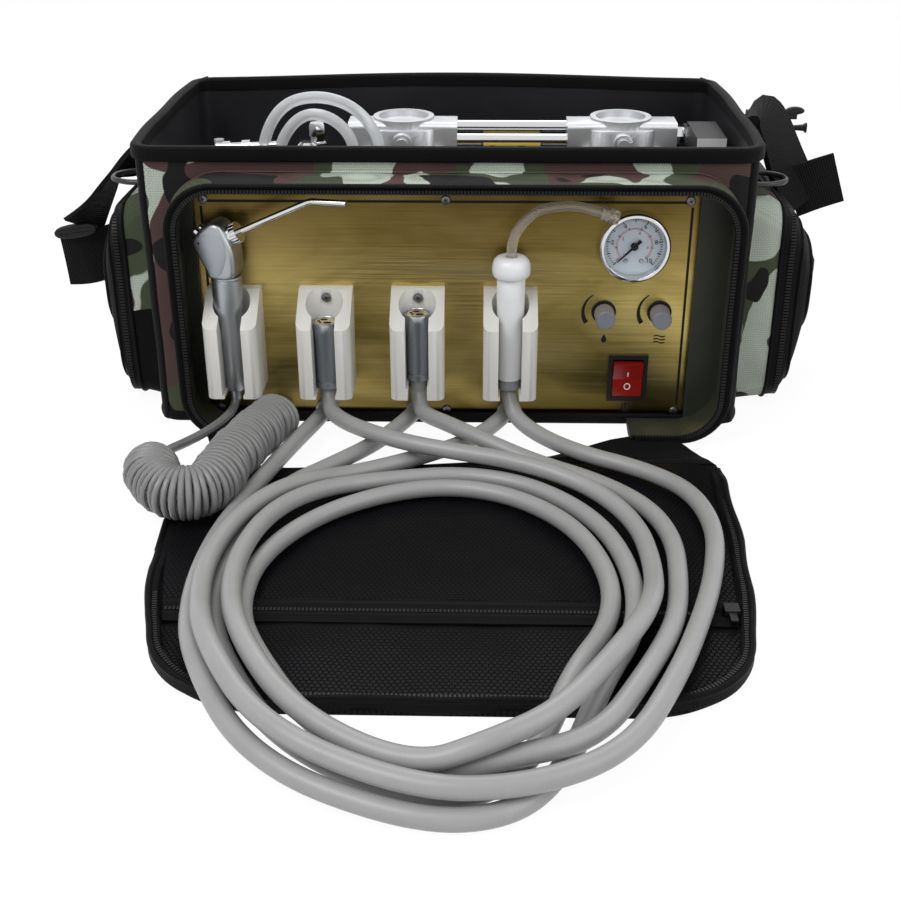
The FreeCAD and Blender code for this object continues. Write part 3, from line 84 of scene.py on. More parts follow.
def shape(points, faces, paint=0, uv=None):
    points = np.asarray(points, float).reshape(-1, 3)
    faces = [[int(k) for k in face] for face in faces]
    paint = [int(paint)] * len(faces) if np.isscalar(paint) else [int(k) for k in paint]
    uv = np.zeros((len(points), 2)) if uv is None else np.asarray(uv, float).reshape(-1, 2)
    return {"points": points, "faces": faces, "paint": paint, "uv": uv}


def metres(rows):
    # The rows are written in millimetres.
    return np.array(rows, float) / 1000


def gridFaces(rows, columns, wrapRows=False, wrapColumns=False):
    # Point k of a grid is in row k // columns. Each quad joins two rows and two columns.
    r, c = np.meshgrid(np.arange(rows if wrapRows else rows - 1),
                       np.arange(columns if wrapColumns else columns - 1), indexing="ij")
    down = (r + 1) % rows
    across = (c + 1) % columns
    quads = np.stack([r * columns + c, r * columns + across, down * columns + across,
                      down * columns + c], -1)
    return quads.reshape(-1, 4)


def loft(loops, paint=0):
    # Closed loops of one size, each joined to the next, with a face over both ends.
    loops = np.asarray(loops, float)
    rows, size = loops.shape[:2]
    faces = gridFaces(rows, size, False, True).tolist()
    faces += [list(range(size))[::-1], list(range((rows - 1) * size, rows * size))]
    return shape(loops, faces, paint)


def closedPad(top, low, paint=0):
    # A closed pad: each row runs over the top and back underneath.
    return loft(np.concatenate([top, low[:, ::-1]], axis=1), paint)


def sectionsOn(line, profile):
    # One copy of the profile for each point of the line, to be changed along it.
    return np.repeat(np.array(profile, float)[None], len(line), 0)


def valuesOf(rows, key):
    # Three values for each vertex or face of a mesh.
    values = np.empty(len(rows) * 3)
    rows.foreach_get(key, values)
    return values.reshape(-1, 3)


def unit(vectors):
    return vectors / np.maximum(np.linalg.norm(vectors, axis=-1, keepdims=True), 1e-12)


def lengthsAlong(points):
    steps = np.linalg.norm(np.diff(points, axis=0), axis=1)
    return np.concatenate([[0.0], np.cumsum(steps)])


def readAt(spots, along, values):
    return np.column_stack([np.interp(spots, along, values[:, k]) for k in range(3)])


def evenly(points, spacing):
    # The same line with points at even distances.
    along = lengthsAlong(points)
    count = max(3, int(round(along[-1] / spacing)) + 1)
    return readAt(np.linspace(0, along[-1], count), along, points)


def between(a, b, count):
    a, b = np.array(a), np.array(b)
    return a + (b - a) * np.linspace(0, 1, count)[:, None]


def outlineOf(straight, middles, radius, angles):
    # Straight runs and the arcs between them, with the outward direction of each point.
    points, out = [], []
    for k, (line, facing) in enumerate(straight):
        points.append(line)
        out.append(np.repeat([facing], len(line), 0))
        if k < len(middles):
            bend = np.column_stack([np.cos(angles[k]), np.sin(angles[k])])
            points.append(np.array(middles[k]) + radius * bend)
            out.append(bend)
    return np.concatenate(points), np.concatenate(out).astype(float)


def sweep(path, side, lift, profile, closedPath=False, paint=0, ends=None):
    # Point (i, j) = path i + profile j's first value times side i + its second times lift i.
    path = np.asarray(path, float)
    profile = np.asarray(profile, float)
    if profile.ndim == 2:
        profile = np.broadcast_to(profile, (len(path),) + profile.shape)
    side = np.broadcast_to(np.asarray(side, float), path.shape)
    lift = np.broadcast_to(np.asarray(lift, float), path.shape)
    points = (path[:, None] + profile[..., :1] * side[:, None] + profile[..., 1:] * lift[:, None])
    rows, columns = profile.shape[:2]
    faces = gridFaces(rows, columns, closedPath, True).tolist()
    mark = list(np.tile(paint, rows)) if np.ndim(paint) else [paint] * len(faces)
    mark = mark[:len(faces)]
    if not closedPath:
        faces.append(list(range(columns))[::-1])
        faces.append(list(range((rows - 1) * columns, rows * columns)))
        mark += [mark[0], mark[-1]] if ends is None else [ends, ends]
    around = np.concatenate([[0.0], np.cumsum(np.linalg.norm(np.diff(profile[0], axis=0), axis=1))])
    uv = np.stack(np.meshgrid(lengthsAlong(path), around, indexing="ij"), -1)
    return shape(points, faces, mark, uv)


def oval(width, height, count=12):
    angle = np.arange(count) * fullTurn / count
    return np.column_stack([np.cos(angle) * width, np.sin(angle) * height])


def pathFrame(path, up=(0, 0, 1)):
    # Side and lift directions across a path: side = run x up, lift = side x run.
    run = unit(np.gradient(path, axis=0))
    side = unit(np.cross(run, np.broadcast_to(np.asarray(up, float), path.shape)))
    return side, np.cross(side, run)


def roundTube(path, radius, count, up=(0, 0, 1), paint=0):
    # Circles of the given radius, one or one for each point, carried along the path.
    side, lift = pathFrame(path, up)
    ring = oval(1, 1, count)
    radius = np.broadcast_to(np.asarray(radius, float), (len(path),))
    return sweep(path, side, lift, radius[:, None, None] * ring[None], False, paint)


def lathe(profile, centre, axis, count=48, paint=0):
    # Point (i, j) = centre + height i along the axis + radius i turned by angle j.
    profile = np.asarray(profile, float)
    axis = unit(np.asarray(axis, float))
    first = unit(np.cross(axis, (0, 0, 1) if abs(axis[2]) < 0.9 else (1, 0, 0)))
    second = np.cross(axis, first)
    angle = np.arange(count) * fullTurn / count
    spokes = np.cos(angle)[:, None] * first + np.sin(angle)[:, None] * second
    points = (np.asarray(centre, float) + profile[:, None, 1:] * axis
              + profile[:, None, :1] * spokes[None])
    faces = gridFaces(len(profile), count, False, True).tolist()
    return shape(points, faces, paint)


def manyBoxes(centres, first, second, third, paint=0):
    # One box for each centre, its half edges given by the three vectors.
    signs = np.array([[a, b, c] for a in (-1, 1) for b in (-1, 1) for c in (-1, 1)], float)
    centres = np.asarray(centres, float).reshape(-1, 3)
    axes = [np.broadcast_to(np.asarray(v, float), centres.shape) for v in (first, second, third)]
    points = centres[:, None] + sum(signs[None, :, k:k + 1] * axes[k][:, None] for k in range(3))
    sides = np.array([[0, 1, 3, 2], [4, 6, 7, 5], [0, 4, 5, 1], [2, 3, 7, 6], [0, 2, 6, 4],
                      [1, 5, 7, 3]])
    faces = (np.arange(len(centres))[:, None, None] * 8 + sides[None]).reshape(-1, 4)
    return shape(points, faces, paint)


def softened(outline, times=2):
    # Corner cutting: each side keeps its middle half, so a closed outline turns smooth.
    outline = np.asarray(outline, float)
    for k in range(times):
        following = np.roll(outline, -1, axis=0)
        outline = np.stack([0.75 * outline + 0.25 * following,
                            0.25 * outline + 0.75 * following], 1).reshape(-1, outline.shape[1])
    return outline


def roundedSlab(outline, half, rounding, steps=5, paint=0):
    # A flat outline in X-Z thickened along Y, its rims drawn in along quarter circles.
    outline = np.asarray(outline, float)
    run = unit(np.roll(outline, -1, axis=0) - np.roll(outline, 1, axis=0))
    inward = np.column_stack([-run[:, 1], run[:, 0]])
    x, z = outline[:, 0], outline[:, 1]
    if np.sum(x * np.roll(z, -1) - np.roll(x, -1) * z) < 0:
        inward = -inward
    angle = np.radians(np.linspace(0, 90, steps))
    inset = np.concatenate([rounding * (1 - np.sin(angle)), rounding * (1 - np.cos(angle))])
    level = np.concatenate([-half + rounding * (1 - np.cos(angle)),
                            half - rounding * (1 - np.sin(angle))])
    rings = outline[None] + inset[:, None, None] * inward[None]
    points = np.stack([rings[..., 0], np.broadcast_to(level[:, None], rings.shape[:2]),
                       rings[..., 1]], -1)
    return loft(points, paint)


def inScene(name, data):
    made = bpy.data.objects.new(name, data)
    scene.collection.objects.link(made)
    return made


def curveAsMesh(curve):
    # The points and faces that the curve draws; the curve itself is removed.
    holder = inScene("drawn", curve)
    mesh = bpy.data.meshes.new_from_object(holder)
    points = valuesOf(mesh.vertices, "co")
    faces = [list(face.vertices) for face in mesh.polygons]
    bpy.data.objects.remove(holder)
    bpy.data.curves.remove(curve)
    bpy.data.meshes.remove(mesh)
    return points, faces


def lettering(words, size, centre, right, up, thickness, paint=0):
    # Raised text made a mesh, then laid on the plane of the two directions.
    curve = bpy.data.curves.new("lettering", "FONT")
    curve.body = words
    curve.size = size
    curve.align_x = "CENTER"
    curve.align_y = "CENTER"
    curve.extrude = thickness / 2
    curve.resolution_u = 3
    flat, faces = curveAsMesh(curve)
    right = np.asarray(right, float)
    up = np.asarray(up, float)
    out = np.cross(right, up)
    points = np.asarray(centre, float) + flat[:, :1] * right + flat[:, 1:2] * up + flat[:, 2:] * out
    return shape(points, faces, paint)


def smoothLine(route, spacing):
    # The smooth spline of order 3 that the route's points steer, read as even points.
    curve = bpy.data.curves.new("route", "CURVE")
    curve.dimensions = "3D"
    spline = curve.splines.new("NURBS")
    spline.points.add(len(route) - 1)
    spline.points.foreach_set("co", np.column_stack([route, np.ones(len(route))]).ravel())
    spline.order_u = 3
    spline.use_endpoint_u = True
    spline.resolution_u = 12
    return evenly(curveAsMesh(curve)[0], spacing)


def asPiece(name, mesh, sharp, body, stands):
    # A smooth object of the mesh, creased where its faces turn by more than the sharp angle.
    mesh.polygons.foreach_set("use_smooth", [True] * len(mesh.polygons))
    mesh.set_sharp_from_angle(angle=math.radians(sharp))
    piece = inScene(name, mesh)
    if stands:
        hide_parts(*stands)
    if body:
        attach(piece, body)
    return piece


def makePiece(name, shapes, materials, body="unit", stands=()):
    # Joins the shapes into one mesh with outward faces and puts it on its body.
    shapes = shapes if isinstance(shapes, list) else [shapes]
    starts = np.cumsum([0] + [len(one["points"]) for one in shapes])
    points = np.concatenate([one["points"] for one in shapes])
    uv = np.concatenate([one["uv"] for one in shapes])
    faces = [[k + start for k in face] for one, start in zip(shapes, starts)
             for face in one["faces"]]
    paint = [number for one in shapes for number in one["paint"]]
    mesh = bpy.data.meshes.new(name)
    mesh.from_pydata(points.tolist(), [], faces)
    mesh.polygons.foreach_set("material_index", paint)
    corners = np.empty(len(mesh.loops), dtype=np.int32)
    mesh.loops.foreach_get("vertex_index", corners)
    mesh.uv_layers.new(name="cloth").data.foreach_set("uv", uv[corners].ravel())
    work = bmesh.new()
    work.from_mesh(mesh)
    bmesh.ops.remove_doubles(work, verts=work.verts, dist=1e-7)
    bmesh.ops.recalc_face_normals(work, faces=work.faces)
    work.to_mesh(mesh)
    work.free()
    for material in materials:
        mesh.materials.append(material)
    return asPiece(name, mesh, 35, body, stands)


def softEdged(name, width, material):
    # A merged copy of the CAD piece with its sharp edges rounded, in place of the CAD piece.
    mesh = nodes[name].data.copy()
    work = bmesh.new()
    work.from_mesh(mesh)
    bmesh.ops.remove_doubles(work, verts=work.verts, dist=2e-6)
    bmesh.ops.dissolve_limit(work, angle_limit=math.radians(0.6), verts=work.verts,
                             edges=work.edges)
    work.to_mesh(mesh)
    work.free()
    mesh.materials.clear()
    mesh.materials.append(material)
    body = name if name in frame["bodies"] else "unit"
    angle = 40
    piece = asPiece(name + "_finished", mesh, angle, body, [name])
    bevel = piece.modifiers.new("edges", "BEVEL")
    bevel.width = width
    bevel.segments = 2
    bevel.limit_method = "ANGLE"
    bevel.angle_limit = math.radians(angle)
    bevel.harden_normals = True
    bevel.use_clamp_overlap = True


# Material helpers

def feed(tree, socket, value):
    if isinstance(value, bpy.types.NodeSocket):
        tree.links.new(value, socket)
    else:
        socket.default_value = value


def add(tree, kind, sockets=None, **settings):
    made = tree.nodes.new("ShaderNode" + kind)
    for key, value in settings.items():
        setattr(made, key, value)
    for key, value in (sockets or {}).items():
        feed(tree, made.inputs[key], value)
    return made


def maths(tree, operation, a, b=0.5, c=0.5, clamp=False):
    made = add(tree, "Math", {0: a, 1: b, 2: c}, operation=operation, use_clamp=clamp)
    return made.outputs[0]


def vectorMaths(tree, operation, a, b=(0, 0, 0), c=(0, 0, 0)):
    made = add(tree, "VectorMath", {0: a, 1: b, 2: c}, operation=operation)
    return made.outputs[0]


def mixed(tree, factor, a, b, blend="MIX"):
    made = add(tree, "Mix", {0: factor, 6: a, 7: b}, data_type="RGBA", blend_type=blend)
    return made.outputs[2]


def ramp(tree, value, stops):
    made = add(tree, "ValToRGB", {"Fac": value})
    elements = made.color_ramp.elements
    while len(elements) < len(stops):
        elements.new(0.5)
    for element, (place, colour) in zip(elements, stops):
        element.position = place
        element.color = colour if len(colour) == 4 else (*colour, 1)
    return made.outputs["Color"]


def noise(tree, vector, scale, detail=2.0, roughness=0.5, distortion=0.0):
    made = add(tree, "TexNoise", {"Vector": vector, "Scale": scale, "Detail": detail,
                                  "Roughness": roughness, "Distortion": distortion})
    return made.outputs["Fac"]


def stretched(tree, vector, scale, place=(0, 0, 0)):
    made = add(tree, "Mapping", {"Vector": vector, "Location": place, "Scale": scale})
    return made.outputs["Vector"]


def startGroup(name, inputs, outputs):
    group = bpy.data.node_groups.new(name, "ShaderNodeTree")
    for label, kind, value in inputs:
        made = group.interface.new_socket(label, in_out="INPUT", socket_type="NodeSocket" + kind)
        if value is not None:
            made.default_value = value
    for label, kind in outputs:
        group.interface.new_socket(label, in_out="OUTPUT", socket_type="NodeSocket" + kind)
    given = group.nodes.new("NodeGroupInput").outputs
    return group, given, group.nodes.new("NodeGroupOutput").inputs


def useGroup(tree, group, values):
    made = tree.nodes.new("ShaderNodeGroup")
    made.node_tree = group
    for key, value in values.items():
        feed(tree, made.inputs[key], value)
    return made.outputs


def newSurface(name, roughness, metallic=0.0, values=None):
    material = bpy.data.materials.new(name)
    material.use_nodes = True
    tree = material.node_tree
    shader = tree.nodes["Principled BSDF"]
    shader.inputs["Roughness"].default_value = roughness
    shader.inputs["Metallic"].default_value = metallic
    for key, value in (values or {}).items():
        shader.inputs[key].default_value = value
    coordinates = add(tree, "TexCoord")
    return material, tree, shader, coordinates.outputs["Object"], coordinates.outputs["UV"]


def bumped(tree, shader, height, strength, distance):
    made = add(tree, "Bump", {"Height": height, "Strength": strength, "Distance": distance})
    tree.links.new(made.outputs["Normal"], shader.inputs["Normal"])


# Fine grain: a small noise for the touch of a surface and a broad one for its wear.
grainInputs = [("Vector", "Vector", None), ("Fine", "Float", 900.0), ("Broad", "Float", 30.0)]
grainGroup, given, made = startGroup("surfaceGrain", grainInputs,
                                     [("Grain", "Float"), ("Blotch", "Float")])
feed(grainGroup, made["Grain"], noise(grainGroup, given["Vector"], given["Fine"], 3.0))
feed(grainGroup, made["Blotch"], noise(grainGroup, given["Vector"], given["Broad"], 4.0, 0.6))

# Woven cloth: height = 0.5 + half the mean of three sines along the axes, so every flat side shows
# crossed threads.
weaveInputs = [("Vector", "Vector", None), ("Pitch", "Float", 0.0012)]
weaveGroup, given, made = startGroup("wovenThreads", weaveInputs, [("Height", "Float")])
parts = add(weaveGroup, "SeparateXYZ", {"Vector": given["Vector"]}).outputs
turns = maths(weaveGroup, "DIVIDE", fullTurn, given["Pitch"])
waves = [maths(weaveGroup, "SINE", maths(weaveGroup, "MULTIPLY", part, turns)) for part in parts]
total = maths(weaveGroup, "ADD", maths(weaveGroup, "ADD", waves[0], waves[1]), waves[2])
feed(weaveGroup, made["Height"], maths(weaveGroup, "MULTIPLY_ADD", total, 0.1667, 0.5))

# Honeycomb net: edge = distance from the middle of a hexagonal cell, 0 there and 1 on a thread.
honeycombGroup, given, made = startGroup(
    "honeycomb", [("Vector", "Vector", None), ("Pitch", "Float", 0.003)], [("Edge", "Float")])
scaled = vectorMaths(honeycombGroup, "DIVIDE", given["Vector"],
                     add(honeycombGroup, "CombineXYZ", {"X": given["Pitch"], "Y": given["Pitch"],
                                                        "Z": 1.0}).outputs[0])
halfCell = (0.5, math.sqrt(3) / 2, 1000.0)
lowCorner = tuple(-side for side in halfCell)
cellA = vectorMaths(honeycombGroup, "WRAP", scaled, halfCell, lowCorner)
shifted = vectorMaths(honeycombGroup, "SUBTRACT", scaled, (*halfCell[:2], 0))
cellB = vectorMaths(honeycombGroup, "WRAP", shifted, halfCell, lowCorner)


def hexDistance(tree, cell):
    # The larger of |x| and |x| / 2 + |y| * 0.866.
    x, y, z = add(tree, "SeparateXYZ", {"Vector": vectorMaths(tree, "ABSOLUTE", cell)}).outputs
    slanted = maths(tree, "ADD", maths(tree, "MULTIPLY", x, 0.5), maths(tree, "MULTIPLY", y, 0.866))
    return maths(tree, "MAXIMUM", x, slanted)


nearest = maths(honeycombGroup, "MINIMUM", hexDistance(honeycombGroup, cellA),
                hexDistance(honeycombGroup, cellB))
feed(honeycombGroup, made["Edge"], maths(honeycombGroup, "MULTIPLY", nearest, 2.0, clamp=True))

# Camouflage print: three warped noises cut off sharply, green, brown and black over pale grey.
camoGroup, given, made = startGroup("camouflage", [("Vector", "Vector", None)],
                                    [("Color", "Color")])
push = add(camoGroup, "TexNoise", {"Vector": given["Vector"], "Scale": 30.0, "Detail": 1.5})
moved = vectorMaths(camoGroup, "MULTIPLY_ADD",
                    vectorMaths(camoGroup, "SUBTRACT", push.outputs["Color"], (0.5, 0.5, 0.5)),
                    (0.026, 0.026, 0.026), given["Vector"])
camo = {"pale": (0.40, 0.44, 0.38, 1), "green": (0.052, 0.064, 0.036, 1),
        "brown": (0.070, 0.040, 0.038, 1), "black": (0.008, 0.007, 0.008, 1)}


def cutNoise(place, scale, limit):
    field = noise(camoGroup, stretched(camoGroup, moved, (1.0, 1.0, 0.8), place), scale, 0.6, 0.4)
    return maths(camoGroup, "MULTIPLY", maths(camoGroup, "SUBTRACT", field, limit), 160.0,
                 clamp=True)


printed = mixed(camoGroup, cutNoise((0.05, 0.66, 0.33), 21.0, 0.475), camo["pale"], camo["green"])
printed = mixed(camoGroup, cutNoise((3.1, 1.4, 2.6), 22.0, 0.53), printed, camo["brown"])
printed = mixed(camoGroup, cutNoise((7.7, 5.2, 4.4), 29.0, 0.595), printed, camo["black"])
feed(camoGroup, made["Color"], printed)

# Brushing: long thin streaks along X, short across.
brushGroup, given, made = startGroup("brushing", [("Vector", "Vector", None)],
                                     [("Streak", "Float")])
drawnOut = stretched(brushGroup, given["Vector"], (12.0, 900.0, 900.0))
feed(brushGroup, made["Streak"], noise(brushGroup, drawnOut, 1.0, 4.0, 0.65))


def finish(name, colour, roughness, metallic=0.0, mottle=0.06, grain=0.15, fine=900.0, broad=30.0,
           values=None):
    # One colour, a little lighter and darker in blotches, with a grain in its touch.
    material, tree, shader, place, uv = newSurface(name, roughness, metallic, values)
    given = useGroup(tree, grainGroup, {"Vector": place, "Fine": fine, "Broad": broad})
    dark = tuple(c * (1 - 2 * mottle) for c in colour) + (1,)
    light = tuple(min(1, c * (1 + 2 * mottle)) for c in colour) + (1,)
    feed(tree, shader.inputs["Base Color"], mixed(tree, given["Blotch"], dark, light))
    spread = maths(tree, "MULTIPLY_ADD", given["Blotch"], 0.16 * roughness + 0.03,
                   roughness * 0.92 - 0.015, clamp=True)
    feed(tree, shader.inputs["Roughness"], spread)
    bumped(tree, shader, given["Grain"], grain, 0.00015)
    return material


ivory = finish("ivoryMoulding", (0.63, 0.62, 0.59), 0.38, grain=0.10, mottle=0.015)
whitePlastic = finish("whitePlastic", (0.78, 0.79, 0.80), 0.32, mottle=0.015, grain=0.08)
matt = {"Specular IOR Level": 0.22}
blackPlastic = finish("blackPlastic", (0.010, 0.010, 0.011), 0.42, grain=0.25, mottle=0.15,
                      values=matt)
redPlastic = finish("redRocker", (0.24, 0.008, 0.006), 0.24, grain=0.06, mottle=0.08,
                    values={"Subsurface Weight": 0.1, "Subsurface Radius": (0.004, 0.001, 0.001),
                            "Subsurface Scale": 0.5})
greyPlastic = finish("greyKnob", (0.170, 0.172, 0.205), 0.42, grain=0.12)
greySocket = finish("greySocket", (0.30, 0.31, 0.33), 0.35)
satinAluminium = finish("satinAluminium", (0.40, 0.42, 0.44), 0.40, 1.0, mottle=0.04, grain=0.2,
                        fine=1500.0)
connectorMetal = finish("connectorMetal", (0.40, 0.43, 0.47), 0.31, 1.0, mottle=0.03, grain=0.03)
chrome = finish("chrome", (0.66, 0.66, 0.67), 0.10, 1.0, mottle=0.02, grain=0.03)
brightSteel = finish("brightSteel", (0.42, 0.42, 0.43), 0.28, 1.0, mottle=0.05, grain=0.1)
screwSteel = finish("screwSteel", (0.17, 0.17, 0.18), 0.36, 1.0, mottle=0.1, grain=0.2)
coverGrey = finish("switchCover", (0.58, 0.60, 0.60), 0.30, mottle=0.05, grain=0.1)
polishedFacet = finish("satinFacet", (0.36, 0.38, 0.41), 0.42, 1.0, mottle=0.03, grain=0.1)
ringPlastic = finish("ringPlastic", (0.010, 0.010, 0.011), 0.34, grain=0.1, mottle=0.1)
zincSteel = finish("zincSteel", (0.40, 0.41, 0.42), 0.42, 1.0, mottle=0.12, broad=60.0)
goldPlate = finish("goldInsert", (0.62, 0.52, 0.34), 0.30, 0.7, grain=0.1)
castAlloy = finish("castAlloy", (0.60, 0.61, 0.63), 0.44, 0.9, mottle=0.07, grain=0.5, fine=700.0)
motorPaint = finish("motorPaint", (0.03, 0.03, 0.033), 0.45, mottle=0.12, grain=0.4, fine=500.0)
yellowPlate = finish("yellowPlate", (0.60, 0.44, 0.07), 0.45, mottle=0.04)
blackRubber = finish("blackRubber", (0.014, 0.014, 0.015), 0.62, mottle=0.15, grain=0.4)
tankPaint = finish("tankPaint", (0.48, 0.49, 0.51), 0.38, 0.5, mottle=0.06, grain=0.2)
inkBlack = finish("printedBlack", (0.009, 0.008, 0.007), 0.6, mottle=0.2, grain=0.2, values=matt)
inkRed = finish("printedRed", (0.42, 0.03, 0.03), 0.55, mottle=0.1)
inkWhite = finish("printedWhite", (0.75, 0.72, 0.70), 0.5, mottle=0.03)
dialWhite = finish("dialWhite", (0.52, 0.59, 0.66), 0.35, mottle=0.02, grain=0.05)
zipperBlack = finish("zipperBlack", (0.010, 0.010, 0.011), 0.42, grain=0.1, mottle=0.15,
                     values={"Specular IOR Level": 0.2})
print("plain finishes made")


def clothSurface(name, colour, roughness, pitch, strength, gloss, printedCloth=False):
    # Colour, print or both, with painted shade darkening the gaps between crossed threads, and a
    # soft sheen.
    material, tree, shader, place, uv = newSurface(
        name, roughness, 0.0, {"Sheen Weight": 0.015, "Sheen Roughness": 0.5,
                               "Specular IOR Level": gloss})
    threads = useGroup(tree, weaveGroup, {"Vector": place, "Pitch": pitch})["Height"]
    wear = useGroup(tree, grainGroup, {"Vector": place, "Fine": 700.0, "Broad": 22.0})
    if printedCloth:
        x, y, z = add(tree, "SeparateXYZ", {"Vector": place}).outputs
        flat = add(tree, "CombineXYZ", {"X": maths(tree, "ADD", x, y), "Y": z}).outputs[0]
        edge = useGroup(tree, honeycombGroup, {"Vector": flat, "Pitch": 0.0018})["Edge"]
        dots = maths(tree, "MULTIPLY", maths(tree, "SUBTRACT", edge, 0.70), 1.25, clamp=True)
        base = mixed(tree, dots, useGroup(tree, camoGroup, {"Vector": place})["Color"],
                     (0.020, 0.022, 0.018, 1))
    else:
        base = (*colour, 1)
    # Painted shade: the colour is darker where the weave's height is low, between threads; the wear
    # blotches add random tone.
    shade = maths(tree, "MULTIPLY_ADD", threads, 0.30, 0.82)
    shade = maths(tree, "MULTIPLY", shade, maths(tree, "MULTIPLY_ADD", wear["Blotch"], 0.35, 0.83))
    tone = add(tree, "CombineXYZ", {"X": shade, "Y": shade, "Z": shade}).outputs[0]
    feed(tree, shader.inputs["Base Color"], mixed(tree, 1.0, base, tone, "MULTIPLY"))
    height = maths(tree, "MULTIPLY_ADD", wear["Grain"], 0.4, threads)
    bumped(tree, shader, height, strength, 0.0004)
    return material


camoCloth = clothSurface("camoCloth", (0, 0, 0), 0.70, 0.0016, 0.5, 0.12, True)
blackCloth = clothSurface("blackCloth", (0.0046, 0.0046, 0.0054), 0.66, 0.0013, 0.6, 0.05)
blackTape = clothSurface("blackTape", (0.0042, 0.0042, 0.0046), 0.55, 0.0010, 0.5, 0.05)
liningCloth = clothSurface("liningCloth", (0.0140, 0.0140, 0.0165), 0.36, 0.0011, 0.25, 0.20)
oliveLining = clothSurface("oliveLining", (0.030, 0.033, 0.024), 0.34, 0.0011, 0.25, 0.22)


def webbingSurface():
    # Ribs across the band every 1.6 mm, with a finer twill between them, on the piece's own map.
    material, tree, shader, place, uv = newSurface(
        "blackWebbing", 0.6, 0.0, {"Sheen Weight": 0.015, "Specular IOR Level": 0.08})
    along, across, rest = add(tree, "SeparateXYZ", {"Vector": uv}).outputs
    ribs = maths(tree, "SINE", maths(tree, "MULTIPLY", along, fullTurn / 0.0016))
    twill = maths(tree, "SINE", maths(tree, "MULTIPLY", maths(tree, "ADD", along, across),
                                      fullTurn / 0.0011))
    height = maths(tree, "MULTIPLY_ADD", twill, 0.4, ribs)
    wear = useGroup(tree, grainGroup, {"Vector": place, "Broad": 40.0})
    feed(tree, shader.inputs["Base Color"],
         mixed(tree, wear["Blotch"], (0.0036, 0.0036, 0.0040, 1), (0.0065, 0.0065, 0.0072, 1)))
    bumped(tree, shader, height, 0.6, 0.0004)
    return material


def netSurface():
    # Threads where the honeycomb's edge value is high; between them glossier dark nylon.
    material, tree, shader, place, uv = newSurface("hexNet", 0.5, 0.0, {"Specular IOR Level": 0.06})
    edge = useGroup(tree, honeycombGroup, {"Vector": place, "Pitch": 0.0029})["Edge"]
    thread = maths(tree, "MULTIPLY", maths(tree, "SUBTRACT", edge, 0.72), 8.0, clamp=True)
    wear = useGroup(tree, grainGroup, {"Vector": place, "Broad": 24.0})
    under = mixed(tree, wear["Blotch"], (0.0030, 0.0030, 0.0040, 1), (0.0068, 0.0068, 0.0088, 1))
    feed(tree, shader.inputs["Base Color"], mixed(tree, thread, under, (0.0030, 0.0030, 0.0035, 1)))
    feed(tree, shader.inputs["Roughness"], maths(tree, "MULTIPLY_ADD", thread, 0.4, 0.36))
    bumped(tree, shader, thread, 0.7, 0.0006)
    return material


def brassSurface():
    # Brushed along X: streaks lighten and roughen it, broad clouds of painted reflection darken it
    # towards brown, and painted shade makes it darker near its top and bottom edges.
    material, tree, shader, place, uv = newSurface("brushedBrass", 0.30, 1.0, {"Anisotropic": 0.5})
    streak = useGroup(tree, brushGroup, {"Vector": place})["Streak"]
    # Painted reflections: broad clouds that move the brass between dark brown and light gold.
    paintedReflections = noise(tree, stretched(tree, place, (9.0, 9.0, 20.0), (0.4, 0, 1.3)), 1.0, 3.0, 0.5,
                   0.9)
    tone = ramp(tree, paintedReflections, [(0.28, (0.38, 0.290, 0.085)), (0.44, (0.68, 0.530, 0.175)),
                               (0.58, (0.90, 0.71, 0.270)), (0.76, (1.00, 0.84, 0.42))])
    x, y, height = add(tree, "SeparateXYZ", {"Vector": place}).outputs
    # Painted shade: a ramp on the height, nudged by the clouds, darkens the top and bottom edges.
    paintedShadeHeight = maths(tree, "MULTIPLY_ADD", paintedReflections, 0.16, maths(tree, "MULTIPLY", height, 5.4))
    shade = ramp(tree, paintedShadeHeight, [(0.12, (0.16, 0.15, 0.12)), (0.36, (0.90, 0.90, 0.86)),
                                      (0.54, (1.0, 1.0, 0.98)), (0.76, (0.38, 0.35, 0.31)),
                                      (0.90, (0.20, 0.18, 0.15))])
    tone = mixed(tree, 1.0, tone, shade, "MULTIPLY")
    fine = mixed(tree, 0.5, tone, ramp(tree, streak, [(0.3, (0.50, 0.48, 0.44)),
                                                      (0.7, (1, 1, 1))]), "MULTIPLY")
    feed(tree, shader.inputs["Base Color"], fine)
    feed(tree, shader.inputs["Roughness"], maths(tree, "MULTIPLY_ADD", streak, 0.25, 0.2))
    bumped(tree, shader, streak, 0.25, 0.0002)
    return material


def hoseSurface(name, low, high):
    # Grey rubber: faint rings round the hose and a dusty mottling between two shades.
    material, tree, shader, place, uv = newSurface(name, 0.38, 0.0, {"Specular IOR Level": 0.5})
    along, around, rest = add(tree, "SeparateXYZ", {"Vector": uv}).outputs
    wear = useGroup(tree, grainGroup, {"Vector": place, "Fine": 1200.0, "Broad": 35.0})
    feed(tree, shader.inputs["Base Color"],
         mixed(tree, wear["Blotch"], (low, low * 1.01, low, 1), (high, high * 1.01, high, 1)))
    rings = maths(tree, "SINE", maths(tree, "MULTIPLY", along, fullTurn / 0.0021))
    bumped(tree, shader, maths(tree, "MULTIPLY_ADD", rings, 0.15, wear["Grain"]), 0.18, 0.00025)
    return material


def clearSurface(name, colour, roughness, ior, transmission, tint=0.0):
    # Clear or milky plastic with a faint unevenness; the weight of transmission is plain.
    material, tree, shader, place, uv = newSurface(
        name, roughness, 0.0, {"IOR": ior, "Transmission Weight": transmission})
    wear = useGroup(tree, grainGroup, {"Vector": place, "Fine": 300.0, "Broad": 60.0})
    light = (*colour, 1)
    dark = tuple(c * (0.94 - tint) for c in colour) + (1,)
    feed(tree, shader.inputs["Base Color"], mixed(tree, wear["Blotch"], dark, light))
    bumped(tree, shader, wear["Grain"], 0.06, 0.0002)
    return material


